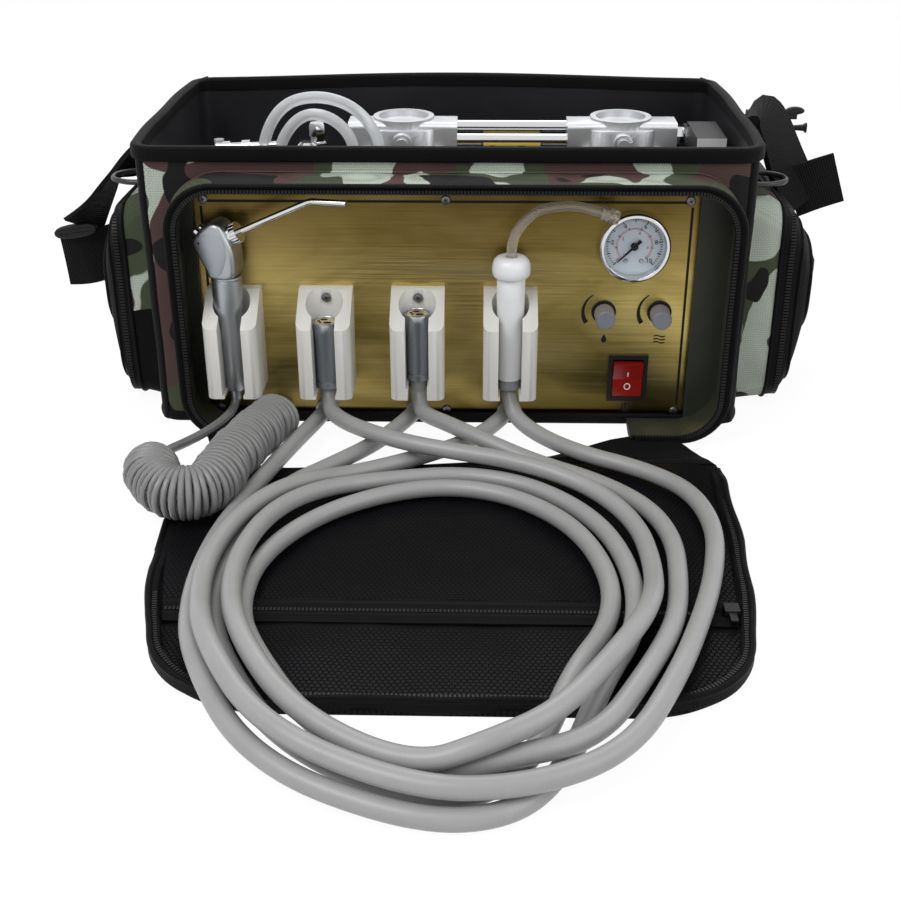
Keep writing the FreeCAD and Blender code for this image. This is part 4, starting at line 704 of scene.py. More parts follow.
webbing = webbingSurface()
hexNet = netSurface()
brass = brassSurface()
greyHose = hoseSurface("greyHose", 0.265, 0.335)
cordGrey = hoseSurface("cordGrey", 0.165, 0.235)
lensGlass = clearSurface("lensGlass", (1, 1, 1), 0.01, 1.12, 1.0)
clearTube = clearSurface("clearTube", (0.93, 0.88, 0.80), 0.12, 1.35, 0.85, 0.08)
milkySilicone = clearSurface("milkySilicone", (0.90, 0.92, 0.94), 0.35, 1.38, 0.55)
bottlePlastic = clearSurface("bottlePlastic", (0.85, 0.88, 0.92), 0.25, 1.35, 0.7)
print("materials made")


# Routes of the hoses, from the gland to the handle, and of the syringe's coil and its leads

handpieceRoute1 = metres([
    (-81, -107, 11), (-84, -120, 11), (-93, -150, 12), (-105, -190, 12), (-116, -232, 12),
    (-126, -282, 12), (-127, -338, 12), (-114, -398, 20), (-76, -462, 12), (-5, -491, 6),
    (38, -487, 6), (62, -457, 7), (80, -412, 19), (101, -364, 13), (105, -310, 12),
    (92, -256, 12), (57, -214, 12), (14, -199, 12), (-35, -209, 13), (-76, -235, 20),
    (-99, -274, 23), (-107, -328, 22), (-93, -391, 30), (-58, -444, 23), (-5, -472, 18),
    (28, -468, 29.5), (58, -449, 31), (86, -406, 31), (109, -356, 24), (116, -308, 14),
    (112, -258, 14), (86, -221, 18), (44, -202, 23), (5, -192, 24), (-28, -181, 25),
    (-56, -160, 24), (-70, -138, 20), (-77, -124, 20), (-77.5, -117, 29.5),
])
handpieceRoute2 = metres([
    (-20, -107, 11), (-25, -120, 11), (-43, -156, 11), (-68, -188, 12), (-92, -214, 12),
    (-107, -250, 12), (-114, -294, 12), (-114, -342, 12), (-101, -394, 20), (-66, -449, 12),
    (-5, -478, 6), (28, -474, 6), (50, -448, 9), (67, -404, 19), (88, -358, 12), (93, -315, 12),
    (79, -264, 12), (47, -228, 12), (6, -214, 12), (-36, -225, 12), (-74, -254, 12),
    (-98, -298, 12), (-100, -344, 12), (-87, -388, 20), (-54, -438, 13.2), (-5, -466, 6),
    (35, -467, 20), (75, -452, 19), (100, -408, 20), (120, -362, 16), (128, -318, 12),
    (131, -274, 12), (121, -238, 12), (95, -208, 12), (58, -190, 15), (26, -172, 21),
    (2, -152, 23), (-11, -135, 20), (-17, -124, 20), (-18, -117, 29.5),
])
suctionRoute = metres([
    (41, -107, 11), (37, -120, 11), (17, -150, 10), (-15, -178, 12), (-54, -200, 12),
    (-87, -227, 21), (-109, -262, 23), (-120, -302, 22), (-120, -342, 22), (-108, -395, 30),
    (-72, -453, 23), (-5, -484, 17.5), (44, -482, 17.5), (88, -459, 18), (115, -408, 20),
    (134, -355, 15), (148, -308, 12), (156, -260, 12), (148, -217, 12), (122, -191, 12),
    (88, -172, 12), (65, -151, 12), (50, -135, 15), (43, -124, 20), (41.5, -117, 29.5),
])
coilRoute = metres([
    (-109, -128, 17.5), (-114, -147, 20), (-121, -172, 22), (-128.5, -205, 23.5),
    (-138, -238, 24), (-159, -243, 24), (-174, -226, 24), (-173, -206, 23.5),
])
leadRoute = metres([
    (-173, -206, 23.5), (-171, -190, 21), (-163, -168, 16), (-152, -148, 15), (-143, -129, 16),
    (-139.5, -119, 20), (-139, -117, 24.5),
])
glandLeadRoute = metres([
    (-112, -107, 11), (-111, -118, 12.5), (-109, -128, 17.5),
])
# Hoses: a circle carried along each route. The share that is kept when the door closes on them, and
# the real length of each, are with the sizes.
hoses = {"radius": 0.00525, "spacing": 0.003, "sides": 16, "kept": 0.12,
         "lengths": {"handpiece_hose_1": 1.743, "handpiece_hose_2": 1.642, "suction_hose": 1.001}}
routes = {"handpiece_hose_1": handpieceRoute1, "handpiece_hose_2": handpieceRoute2,
          "suction_hose": suctionRoute}
for name, route in routes.items():
    line = smoothLine(route, hoses["spacing"])
    piece = makePiece(name + "_rubber", roundTube(line, hoses["radius"], hoses["sides"]),
                      [greyHose], "unit", [name])
    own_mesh(piece)
    print(name, "length", round(float(lengthsAlong(line)[-1]), 4))

# Curly cord: centre + radius times (cos turn * side + sin turn * lift). The turn grows with the
# distance along the coil, faster in the bend and slower at both ends, where the radius grows from
# nothing.
curly = {"helixRadius": 0.0141, "pitch": 0.0039, "strand": 0.00188, "lead": 0.003,
         "endRun": 0.007, "pointsPerTurn": 22, "bendShare": 0.55, "endTurn": 0.1,
         "sag": (0.0050, -0.0068, 0.0), "sagFrom": 0.42}
axisLine = smoothLine(coilRoute, 0.0002)
side, lift = pathFrame(axisLine)
along = lengthsAlong(axisLine)
bend = np.linalg.norm(np.gradient(unit(np.gradient(axisLine, axis=0)), along, axis=0), axis=1)
bend = np.convolve(np.pad(bend, 25, mode="edge"), np.full(51, 1 / 51), mode="valid")
density = 1 + curly["bendShare"] * np.clip(bend * curly["helixRadius"], 0, 1)
fromEnd = np.clip(np.minimum(along, along[-1] - along) / curly["endRun"], 0, 1)
density = density * (curly["endTurn"] + (1 - curly["endTurn"]) * fromEnd)
wound = np.concatenate([[0.0], np.cumsum((density[1:] + density[:-1]) / 2 * np.diff(along))])
turns = round(wound[-1] / curly["pitch"])
spots = np.linspace(0, along[-1], int(turns * curly["pointsPerTurn"]))
centre = readAt(spots, along, axisLine)
sagShare = (spots / along[-1] - curly["sagFrom"]) / (1 - curly["sagFrom"])
sag = np.sin(math.pi * np.clip(sagShare, 0, 1)) ** 2
centre = centre + sag[:, None] * np.array(curly["sag"])
sideAt = unit(readAt(spots, along, side))
liftAt = unit(readAt(spots, along, lift))
edge = np.clip(np.minimum(spots, along[-1] - spots) / curly["endRun"], 0, 1)
reach = curly["helixRadius"] * edge * edge * (3 - 2 * edge)
wobble = (1 + 0.06 * np.sin(spots * 211.0) + 0.06 * np.sin(spots * 997.0)
          + 0.02 * np.sin(spots * 1733.0))
turn = np.interp(spots, along, wound) / wound[-1] * turns * fullTurn
coilLine = (centre + (reach * wobble * np.cos(turn))[:, None] * sideAt
            + (reach * np.sin(turn))[:, None] * liftAt)
startLine = smoothLine(glandLeadRoute, 0.002)
endLine = smoothLine(leadRoute, 0.002)
strandLine = np.concatenate([startLine[:-1], coilLine, endLine[1:]])
thick = np.concatenate([np.full(len(startLine) - 1, curly["lead"]),
                        curly["lead"] + (curly["strand"] - curly["lead"]) * edge,
                        np.full(len(endLine) - 1, curly["lead"])])
radial = np.concatenate([np.repeat(liftAt[:1], len(startLine) - 1, 0),
                         np.cos(turn)[:, None] * sideAt + np.sin(turn)[:, None] * liftAt,
                         np.repeat([[1.0, 0.0, 0.0]], len(endLine) - 1, 0)])
run = unit(np.gradient(strandLine, axis=0))
acrossStrand = unit(np.cross(run, radial))
piece = makePiece("curly_cord", sweep(strandLine, acrossStrand, np.cross(acrossStrand, run),
                                      thick[:, None, None] * oval(1, 1, 9)[None]),
                  [cordGrey], "unit", ["syringe_coil", "syringe_lead"])
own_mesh(piece)


# Bag

bag = {"halfWidth": 0.195, "halfDepth": 0.105, "corner": 0.014, "height": 0.186,
       "thickness": 0.0037, "openHalf": 0.160, "openLow": 0.004, "openHigh": 0.160,
       "sideBow": 0.0030, "rearBow": 0.0020, "rearLift": 0.0040,
       "inlet": (0.140, 0.034), "inletHalf": (0.014, 0.011)}


def bagPlan():
    # Plan of the walls, anticlockwise from the front left corner, and the outward directions.
    w, d, r = bag["halfWidth"], bag["halfDepth"], bag["corner"]
    opening = bag["openHalf"]
    front = np.unique(np.concatenate([np.linspace(r - w, -opening, 4),
                                      np.linspace(-opening, opening, 47),
                                      np.linspace(opening, w - r, 4)]))
    rear = np.unique(np.concatenate([np.linspace(r - w, w - r, 50), [0.126, 0.154]]))
    sides = np.linspace(r - d, d - r, 27)
    turnIn = np.radians(np.linspace(0, 90, 9))[1:-1]
    straight = [(np.column_stack([front, np.full(len(front), -d)]), (0, -1)),
                (np.column_stack([np.full(len(sides), w), sides]), (1, 0)),
                (np.column_stack([rear[::-1], np.full(len(rear), d)]), (0, 1)),
                (np.column_stack([np.full(len(sides), -w), sides[::-1]]), (-1, 0))]
    middles = [(w - r, r - d), (w - r, d - r), (r - w, d - r), (r - w, r - d)]
    return outlineOf(straight, middles, r, [turnIn + (k - 1) * math.pi / 2 for k in range(4)])


planPoints, planOut = bagPlan()


def wallAt(z, inset=0.0):
    # The wall's line at height z: sides and rear bow out, the rear rim rises, all ripple a little.
    t = np.clip(z / bag["height"], 0, 1)
    x, y = planPoints[:, 0], planPoints[:, 1]
    nx, ny = np.abs(planOut[:, 0]), np.maximum(planOut[:, 1], 0)
    bow = nx * bag["sideBow"] * t ** 1.5 * np.cos(math.pi * y / 0.22)
    bow = bow + ny * bag["rearBow"] * math.sin(math.pi * t) * np.cos(math.pi * x / 0.40)
    ripple = 0.0007 * np.sin(61 * y + 43 * z) * np.sin(57 * z + 1.0) * nx
    ripple = ripple + 0.0008 * np.sin(41 * x + 1.3) * np.sin(49 * z + 0.4) * ny
    plan = planPoints + planOut * (bow + ripple - inset)[:, None]
    height = z + bag["rearLift"] * t ** 4 * ny * np.cos(math.pi * x / 0.42) ** 2
    return np.column_stack([plan, height])


heights = np.unique(np.round(np.concatenate([[0.0, 0.0012, 0.004], np.linspace(0.004, 0.160, 27),
                                             [0.023, 0.045], np.linspace(0.160, 0.186, 7)]), 5))
insets = np.interp(heights, [0, 0.0012, 0.004], [0.004, 0.0012, 0.0])
rows = [wallAt(z, i) for z, i in zip(heights, insets)]
foot = rows[0]
under = [foot * (s, s, 1) for s in (0.25, 0.5, 0.75)]
wallGrid = np.concatenate(under + rows)
columns = len(planPoints)
faces = gridFaces(len(under) + len(rows), columns, False, True)
middle = wallGrid[faces].mean(axis=1)
openFront = ((np.abs(middle[:, 0]) < bag["openHalf"]) & (middle[:, 1] < -0.1)
             & (middle[:, 2] > bag["openLow"]) & (middle[:, 2] < bag["openHigh"]))
openInlet = ((np.abs(middle[:, 0] - bag["inlet"][0]) < bag["inletHalf"][0]) & (middle[:, 1] > 0.1)
             & (np.abs(middle[:, 2] - bag["inlet"][1]) < bag["inletHalf"][1]))
kept = faces[~(openFront | openInlet)].tolist()
centreIndex = len(wallGrid)
wallGrid = np.concatenate([wallGrid, [[0, 0, 0]]])
kept += [[centreIndex, (k + 1) % columns, k] for k in range(columns)]
walls = makePiece("bag_cloth", shape(wallGrid, kept), [camoCloth, liningCloth, blackTape], "unit",
                  ["bag_shell", "bag_lining"])
thickness = walls.modifiers.new("cloth", "SOLIDIFY")
thickness.thickness = bag["thickness"]
thickness.offset = -1
thickness.use_even_offset = True
thickness.material_offset = 1
thickness.material_offset_rim = 2

planOut3 = np.column_stack([planOut, np.zeros(len(planOut))])
bindingProfile = metres([(0.3, -6.8), (1.4, -7.1), (2.2, -6.4), (2.4, -2.2), (2.1, 0.8), (1, 2),
                         (-1.2, 2.4), (-3.2, 2), (-4.6, 0.6), (-4.9, -3), (-4.7, -6.6), (-4, -7),
                         (-3, -6.2), (-1.2, -6.2)])
rimLine = wallAt(bag["height"])
makePiece("rim_tape", sweep(rimLine, planOut3, (0, 0, 1), bindingProfile, True), [blackTape],
          "unit", ["rim_binding"])

# Tape up the four corners and round the foot.
cornerTapes = {(-1, -1): 0.180, (1, -1): 0.180, (1, 1): 0.170, (-1, 1): 0.170}
edging = []
for direction, topEnd in cornerTapes.items():
    k = int(np.argmax(planOut @ np.array(direction)))
    line = np.array([wallAt(z)[k] for z in np.linspace(0.0015, topEnd, 40)])
    facing = planOut3[k]
    level = np.cross(facing, (0, 0, 1))
    edging.append(sweep(line, level, facing, oval(0.0038, 0.0014, 12)))
baseLine = wallAt(0.0046)
edging.append(sweep(baseLine, planOut3, (0, 0, 1), oval(0.0012, 0.0036, 12), True))
makePiece("bag_edging", edging, [blackTape], "unit")
print("bag walls made")


# Gusset round the front

gusset = {"left": -0.170, "right": 0.182, "low": 0.0032, "high": 0.172, "corner": 0.030,
          "slotLeft": -0.128, "slotRight": 0.121, "toothPitch": 0.0021, "toothY": -0.1376,
          "facingFront": -0.1062, "facingRear": -0.1042}


def gussetLine(spacing=0.004):
    # Ring in the front plane from the slot's left end up, across and down to its right end.
    g = gusset
    r = g["corner"]
    x0, x1, z0, z1 = g["left"] + r, g["right"] - r, g["low"] + r, g["high"] - r
    straight = [((g["slotLeft"], g["low"]), (x0, g["low"]), (0, -1)),
                ((g["left"], z0), (g["left"], z1), (-1, 0)),
                ((x0, g["high"]), (x1, g["high"]), (0, 1)),
                ((g["right"], z1), (g["right"], z0), (1, 0)),
                ((x1, g["low"]), (g["slotRight"], g["low"]), (0, -1))]
    bends = [((x0, z0), 270, 180), ((x0, z1), 180, 90), ((x1, z1), 90, 0), ((x1, z0), 0, -90)]
    runs = [(between(a, b, max(3, int(math.dist(a, b) / spacing))), out) for a, b, out in straight]
    angles = [np.radians(np.linspace(start, end, 14))[1:-1] for middle, start, end in bends]
    points, facing = outlineOf(runs, [bend[0] for bend in bends], r, angles)
    place = np.column_stack([points[:, 0], np.zeros(len(points)), points[:, 1]])
    out = np.column_stack([facing[:, 0], np.zeros(len(points)), facing[:, 1]])
    return place, out


ringLine, ringOut = gussetLine()
ringAlong = lengthsAlong(ringLine)
pucker = 0.0006 * np.sin(ringAlong * 170) + 0.0005 * np.sin(ringAlong * 67 + 1)
ringProfile = metres([(0, 105), (1, 110), (1.9, 117), (2.1, 124), (1.4, 130), (0.4, 134.5),
                      (-2.2, 134.5), (-3, 128), (-3.6, 120), (-3, 111), (-2.4, 104.8)])
ringSections = sectionsOn(ringLine, ringProfile)
swell = np.sin(np.clip((ringProfile[:, 1] - 0.105) / 0.0295, 0, 1) * math.pi)
ringSections[:, :, 0] += pucker[:, None] * swell[None]
ringPaint = [0, 0, 0, 0, 0, 1, 1, 1, 1, 1, 1]
ring = sweep(ringLine, ringOut, (0, -1, 0), ringSections, False, ringPaint, 2)
seamProfile = metres([(0.6, 0), (2.2, 0.2), (2.6, 1.4), (1.4, 2.6), (0, 2)]) + (0, 0.1048)
bandProfile = metres([(0.6, 132.5), (1.8, 133.5), (2.2, 135.2), (1.6, 136.8), (0.2, 137.6),
                      (-2, 137.2), (-2.8, 136.7), (-3.4, 136.7), (-4.2, 137.4), (-6.6, 137.4),
                      (-7.4, 136.4), (-7, 135.2), (-4, 134.6), (-2, 132.5)])
slim = 0.60 + 0.28 * np.abs(ringOut[:, 0])
bandSections = sectionsOn(ringLine, bandProfile)
bandSections[:, :, 0] *= slim[:, None]
band = sweep(ringLine, ringOut, (0, -1, 0), bandSections, False, 2)
seam = sweep(ringLine, ringOut, (0, -1, 0), seamProfile * (0.6, 1), False, 0)


def teethAlong(line, out, facing, offset, pitch, size, paint):
    # One small block at every pitch of a line, its length across the line.
    along = lengthsAlong(line)
    spots = np.arange(pitch, along[-1] - pitch, pitch)
    at = readAt(spots, along, line + out * offset)
    across = unit(readAt(spots, along, out))
    facing = np.broadcast_to(np.asarray(facing, float), at.shape)
    run = np.cross(across, facing)
    return manyBoxes(at, run * size[0], across * size[1], facing * size[2], paint)


teeth = teethAlong(ringLine + (0, gusset["toothY"], 0), ringOut, (0, -1, 0),
                   -0.0054 * slim[:, None], gusset["toothPitch"], (0.0006, 0.0013, 0.0005), 3)
facingInner = np.column_stack([np.clip(ringLine[:, 0], -0.1590, 0.1590), ringLine[:, 1],
                               np.clip(ringLine[:, 2], 0.0045, 0.1585)])
front, rear = (0, gusset["facingFront"], 0), (0, gusset["facingRear"], 0)
facing = loft(np.stack([ringLine + front, facingInner + front, facingInner + rear,
                        ringLine + rear], axis=1), 1)
makePiece("front_gusset_cloth", [ring, band, seam, teeth, facing],
          [camoCloth, oliveLining, blackTape, zipperBlack], "unit", ["front_gusset"])

# Hinge tabs: a strip from the gusset's foot down to the floor and up on to the door's back edge.
hinge = {"start": (0, -0.142, 0), "end": (0, -0.164, 0), "thickness": 0.0012, "back": -0.133,
         "reach": 0.036}


def hingeTab(name, leftBack, leftFront, rightBack, rightFront):
    t = np.linspace(0, 1, 15)
    y = hinge["back"] - t * hinge["reach"]
    z = np.interp(-y, [0.133, 0.138, 0.145, 0.155, 0.162, 0.169],
                  [0.0052, 0.0036, 0.0020, 0.0022, 0.0040, 0.0048])
    s = np.linspace(0, 1, 24)
    left = leftBack + (leftFront - leftBack) * t ** 0.7
    right = rightBack + (rightFront - rightBack) * t ** 0.45
    x = left[:, None] + (right - left)[:, None] * s[None]
    ripple = 0.0008 * np.sin(math.pi * s[None] * 3) * np.sin(math.pi * t[:, None])
    top = np.stack([x, np.broadcast_to(y[:, None], x.shape), z[:, None] + ripple], -1)
    tab = makePiece(name, closedPad(top, top - (0, 0, hinge["thickness"])), [blackCloth], None)
    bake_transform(tab)


hingeTab("hinge_tab_left", -0.158, -0.148, -0.128, -0.124)
hingeTab("hinge_tab_right", 0.119, 0.050, 0.142, 0.170)
print("gusset made")


# Front door with its folding flap

door = {"back": -0.1584, "front": -0.416, "corner": 0.050, "foldBack": (0, -0.3385, 0),
        "foldFront": (0, -0.3585, 0), "toothPitch": 0.0021, "cutRun": 0.06, "netFrom": -0.3505,
        "rimInset": 0.003, "rimRight": -0.174, "rimLeft": -0.270}


def doorLeft(y):
    return np.interp(-y, [0.1584, 0.172, 0.2424, 0.30, 0.35, 0.416],
                     [-0.126, -0.141, -0.161, -0.157, -0.147, -0.130])


def doorRight(y):
    return np.interp(-y, [0.1584, 0.27, 0.32, 0.35, 0.416], [0.173, 0.170, 0.166, 0.162, 0.152])


def cornerInset(d, radius):
    d = np.clip(d, 0, radius)
    return radius - np.sqrt(np.maximum(radius ** 2 - (radius - d) ** 2, 0))


def doorEdges(y, inset):
    # Left and right ends of the outline at y, moved in by the inset.
    inFront = cornerInset(y - door["front"] - inset, door["corner"] - inset)
    behind = cornerInset(door["back"] - inset - y, 0.012)
    left = doorLeft(y) + inset + inFront
    right = doorRight(y) - inset - inFront - behind
    return left, right


def doorBack(x):
    # The back edge is cut away in the middle and on the left, where the hoses come out.
    return np.interp(x, [-0.126, -0.10, -0.03, 0.05, 0.10, 0.17],
                     [0.016, 0.021, 0.017, 0.007, 0, 0])


def doorSlab(back, front, inset, topAt, bottomAt, columnCount, bottomPaint, topPaint):
    # Closed pad: each row is a loop, over the top from left to right and back underneath.
    depth = np.unique(np.concatenate([np.arange(front + 0.02, back, 0.005), [back],
                                      front + 0.02 * np.linspace(0, 1, 14) ** 2]))[::-1]
    left, right = doorEdges(depth, inset)
    s = 0.5 - 0.5 * np.cos(np.linspace(0, math.pi, columnCount))
    s = 0.5 * s + 0.5 * np.linspace(0, 1, columnCount)
    x = left[:, None] + (right - left)[:, None] * s[None]
    y = np.broadcast_to(depth[:, None], x.shape).copy()
    share = np.clip((depth - (back - door["cutRun"])) / door["cutRun"], 0, 1)
    y = y - doorBack(x) * share[:, None] * (1 if inset < 0.004 else 0.6)
    rim = np.minimum(x - left[:, None], right[:, None] - x)
    rounding = np.sqrt(np.clip(rim / 0.003, 0, 1))
    centre = (topAt(x, y) + bottomAt(x, y)) / 2
    top = centre + (topAt(x, y) - centre) * (0.3 + 0.7 * rounding)
    low = centre - (centre - bottomAt(x, y)) * (0.3 + 0.7 * rounding)
    mark = ([topPaint] * columnCount + [bottomPaint] * columnCount) * (len(depth) - 1)
    return closedPad(np.stack([x, y, top], -1), np.stack([x, y, low], -1), mark + [topPaint] * 2)


def padTop(x, y):
    quilt = 0.0005 * np.sin(43 * x + 0.7) * np.sin(39 * y) + 0.0002 * np.sin(151 * x + 90 * y)
    return 0.0036 + quilt + 0.0014 * np.clip((-0.352 - y) / 0.02, 0, 1) * np.sin(x * 37 + 1) ** 2


def padBottom(x, y):
    return 0.0006 + 0 * x


slab = doorSlab(door["back"], door["front"], 0.0, padTop, padBottom, 60, 1, 0)
faceMiddles = np.array([slab["points"][face].mean(axis=0) for face in slab["faces"]])
netted = (faceMiddles[:, 1] < door["netFrom"]) & (faceMiddles[:, 2] > 0.002)
slab["paint"] = np.where(netted, 4, slab["paint"]).tolist()


def doorOutline(inset, backRight, backLeft):
    # From the right side forward, round the front and back along the left side, at floor level.
    r = door["corner"] - inset
    sideY = door["front"] + door["corner"]
    yRight = np.arange(backRight, sideY, -0.004)
    right = np.column_stack([doorRight(yRight) - inset, yRight])
    angle = np.radians(np.linspace(0, 90, 22))
    y = door["front"] + inset + r * (1 - np.sin(angle))
    cornerR = np.column_stack([doorRight(y) - inset - r * (1 - np.cos(angle)), y])
    cornerL = np.column_stack([doorLeft(y) + inset + r * (1 - np.cos(angle)), y])[::-1]
    x = np.arange(cornerR[-1, 0] - 0.004, cornerL[0, 0], -0.004)
    frontLine = np.column_stack([x, np.full(len(x), door["front"] + inset)])
    yLeft = np.arange(backLeft, sideY, -0.004)[::-1]
    left = np.column_stack([doorLeft(yLeft) + inset, yLeft])
    plan = np.concatenate([right, cornerR, frontLine, cornerL, left])
    line = evenly(np.column_stack([plan, np.zeros(len(plan))]), 0.004)
    run = unit(np.gradient(line, axis=0))
    return line, np.cross(run, (0, 0, 1.0)) * -1


rimLineDoor, rimOutDoor = doorOutline(door["rimInset"], door["rimRight"], door["rimLeft"])
middleOfDoor = np.array([0.0, -0.29, 0.0])
if np.sum((rimLineDoor - middleOfDoor) * rimOutDoor) < 0:
    rimOutDoor = -rimOutDoor
rimAlong = lengthsAlong(rimLineDoor)
endFade = np.clip(np.minimum(rimAlong / 0.03, (rimAlong[-1] - rimAlong) / 0.06), 0, 1)
rise = 0.30 + 0.70 * endFade * endFade * (3 - 2 * endFade)
rimProfile = metres([(-3, 2), (2.8, 2), (3.4, 3.6), (3, 7), (3.4, 8.4), (3.6, 9.6), (2.6, 10.8),
                     (1, 10.8), (0.2, 9.8), (-0.2, 8.8), (-1.6, 8.8), (-3, 8), (-3.6, 6)])
rimSections = sectionsOn(rimLineDoor, rimProfile)
rimSections[:, :, 1] = 0.0020 + (rimSections[:, :, 1] - 0.0020) * rise[:, None]
rimSections[:, :, 0] += (0.0006 * np.sin(rimAlong * 90))[:, None]
rimCloth = sweep(rimLineDoor, rimOutDoor, (0, 0, 1), rimSections, False, 2)
inner = slice(12, -14)
rimTeeth = teethAlong(rimLineDoor[inner] + np.array([0, 0, 0.0090]), rimOutDoor[inner], (0, 0, 1),
                      -0.0012, door["toothPitch"], (0.0006, 0.0012, 0.0003), 3)
doorPad = makePiece("door_pad", [slab, rimCloth, rimTeeth],
                    [blackCloth, camoCloth, blackTape, zipperBlack, hexNet], None,
                    ["front_door", "door_flap"])
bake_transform(doorPad)

# Edge tape where the door has no rim: along the left side, the slanted shoulder and the back.
tapeX = np.linspace(-0.122, 0.150, 60)
tapeBack = np.column_stack([tapeX, door["back"] - doorBack(tapeX) - 0.001, np.full(60, 0.0030)])
tapeY = np.arange(-0.276, -0.1600, 0.004)
tapeShift = 0.014 * np.clip((tapeY + 0.20) / 0.04, 0, 1)
tapeLeft = np.column_stack([doorLeft(tapeY) + 0.0006, tapeY - tapeShift,
                            np.full(len(tapeY), 0.0030)])
tapeLine = evenly(np.concatenate([tapeLeft, tapeBack]), 0.004)
makePiece("door_edge_tape", roundTube(tapeLine, 0.0019, 10), [blackTape], "front_door")

# Net pocket on the door's inside, its zipper band next to the fold.
pocket = {"inset": 0.008, "back": -0.168, "bandBack": -0.3262, "front": -0.3472,
          "flat": (0.300, 0.160), "thickness": 0.0008, "zipFrom": (-0.142, -0.3367, 0.0053),
          "zipTo": (0.146, -0.3367, 0.0053)}


def netTop(x, y):
    billow = 0.0009 * np.sin(math.pi * np.clip((pocket["back"] - y) / 0.158, 0, 1))
    folds = 0.0004 * np.sin(52 * x + 80 * y) * np.sin(64 * x - 45 * y + 1)
    return 0.0045 + billow + folds + 0.0002 * np.sin(120 * x + 60 * y)


def netBottom(x, y):
    return netTop(x, y) - pocket["thickness"]


net = doorSlab(pocket["back"], pocket["bandBack"] + 0.001, pocket["inset"], netTop, netBottom, 50,
               0, 0)
netPiece = makePiece("pocket_net", net, [hexNet], "front_door", ["door_pocket"])


def bandTop(x, y):
    # A flat tape with two raised welts along it.
    place = (y - pocket["front"]) / (pocket["bandBack"] - pocket["front"])
    welt = np.exp(-((place - 0.26) / 0.10) ** 2) + np.exp(-((place - 0.74) / 0.10) ** 2)
    return 0.0050 + 0.0012 * welt


bandRows = np.linspace(pocket["bandBack"], pocket["front"], 22)
bandLeft, bandRight = doorEdges(bandRows, pocket["inset"])
s = np.linspace(0, 1, 40)
bandX = bandLeft[:, None] + (bandRight - bandLeft)[:, None] * s[None]
bandY = np.broadcast_to(bandRows[:, None], bandX.shape)
upper = np.stack([bandX, bandY, bandTop(bandX, bandY)], -1)
lower = np.stack([bandX, bandY, np.full(bandX.shape, 0.0040)], -1)
zipLine = between(pocket["zipFrom"], pocket["zipTo"], 60)
zipOut = np.repeat([[0.0, 1.0, 0.0]], 60, 0)
zipTeeth = teethAlong(zipLine, zipOut, (0, 0, 1), 0.0, door["toothPitch"],
                      (0.0006, 0.0013, 0.0003), 1)
makePiece("pocket_zip_band", [closedPad(upper, lower), zipTeeth], [blackTape, zipperBlack],
          "front_door")
print("door made")


# Lid, folded back behind the bag: its lining faces the rear, its camouflage side the bag.
lid = {"halfWidth": 0.1945, "top": 0.1852, "bottom": 0.0070, "near": 0.1072, "far": 0.1128,
       "corner": 0.014, "topCorner": 0.008, "edge": 0.1100, "edgeRadius": 0.0030}
flatFrom, flatTo = lid["bottom"] + lid["corner"], lid["top"] - lid["topCorner"]
lidRows = np.unique(np.concatenate([np.linspace(lid["bottom"], flatFrom, 9),
                                    np.linspace(flatFrom, flatTo, 24),
                                    np.linspace(flatTo, lid["top"], 7)]))
lidHalf = lid["halfWidth"] - cornerInset(lidRows - lid["bottom"], lid["corner"])
lidHalf = lidHalf - cornerInset(lid["top"] - lidRows, lid["topCorner"])
s = np.linspace(-1, 1, 60)
lidX = lidHalf[:, None] * s[None]
lidZ = np.broadcast_to(lidRows[:, None], lidX.shape)
puff = 0.0009 * np.cos(math.pi * s[None] / 2) * np.sin(math.pi * (lidZ - lid["bottom"]) / 0.181)
puff = puff + 0.0004 * np.sin(60 * lidX + 1) * np.sin(70 * lidZ)
farSide = np.stack([lidX, lid["far"] + puff, lidZ], -1)
nearSide = np.stack([lidX, lid["near"] + 0 * puff, lidZ], -1)
lidPaint = ([0] * 60 + [1] * 60) * (len(lidRows) - 1) + [0, 0]
lidPlan = np.concatenate([np.column_stack([-lidHalf[::-1], lidRows[::-1]]),
                          np.column_stack([lidHalf, lidRows])])
lidEdge = np.column_stack([lidPlan[:, 0], np.full(len(lidPlan), lid["edge"]), lidPlan[:, 1]])
lidEdge = evenly(lidEdge, 0.004)
lidPiece = makePiece("lid_pad", [closedPad(farSide, nearSide, lidPaint),
                                 roundTube(lidEdge, lid["edgeRadius"], 10, (0, 1, 0), paint=2)],
                     [liningCloth, camoCloth, blackTape], "top_lid", ["top_lid"])


# Side pockets: rounded oblongs set one outside another, smaller towards the outer face.

sidePocket = {"reach": {-1: 0.0435, 1: 0.0565}, "halfWidth": 0.0775, "low": 0.0042, "high": 0.146,
              "camoTo": 0.42, "tapeTo": 0.68, "zipAt": 0.55, "toothPitch": 0.0021,
              "paintedShadeFoot": 0.066}


def oblong(halfWidth, low, high, radius, perSide=16, perCorner=8):
    # Rounded oblong in the Y-Z plane: straight sides and four quarter circles, with its normals.
    radius = min(radius, halfWidth, (high - low) / 2) * 0.999
    a, b = halfWidth - radius, (high - low) / 2 - radius
    mid = (high + low) / 2
    ends = [((-a, -b - radius), (a, -b - radius), (0, -1)),
            ((a + radius, -b), (a + radius, b), (1, 0)),
            ((a, b + radius), (-a, b + radius), (0, 1)),
            ((-a - radius, b), (-a - radius, -b), (-1, 0))]
    centres = [(a, -b), (a, b), (-a, b), (-a, -b)]
    angles = [np.radians(np.linspace(-90, 0, perCorner + 2)[1:-1] + 90 * k) for k in range(4)]
    points, facing = outlineOf([(between(start, end, perSide), out) for start, end, out in ends],
                               centres, radius, angles)
    return points + (0, mid), facing


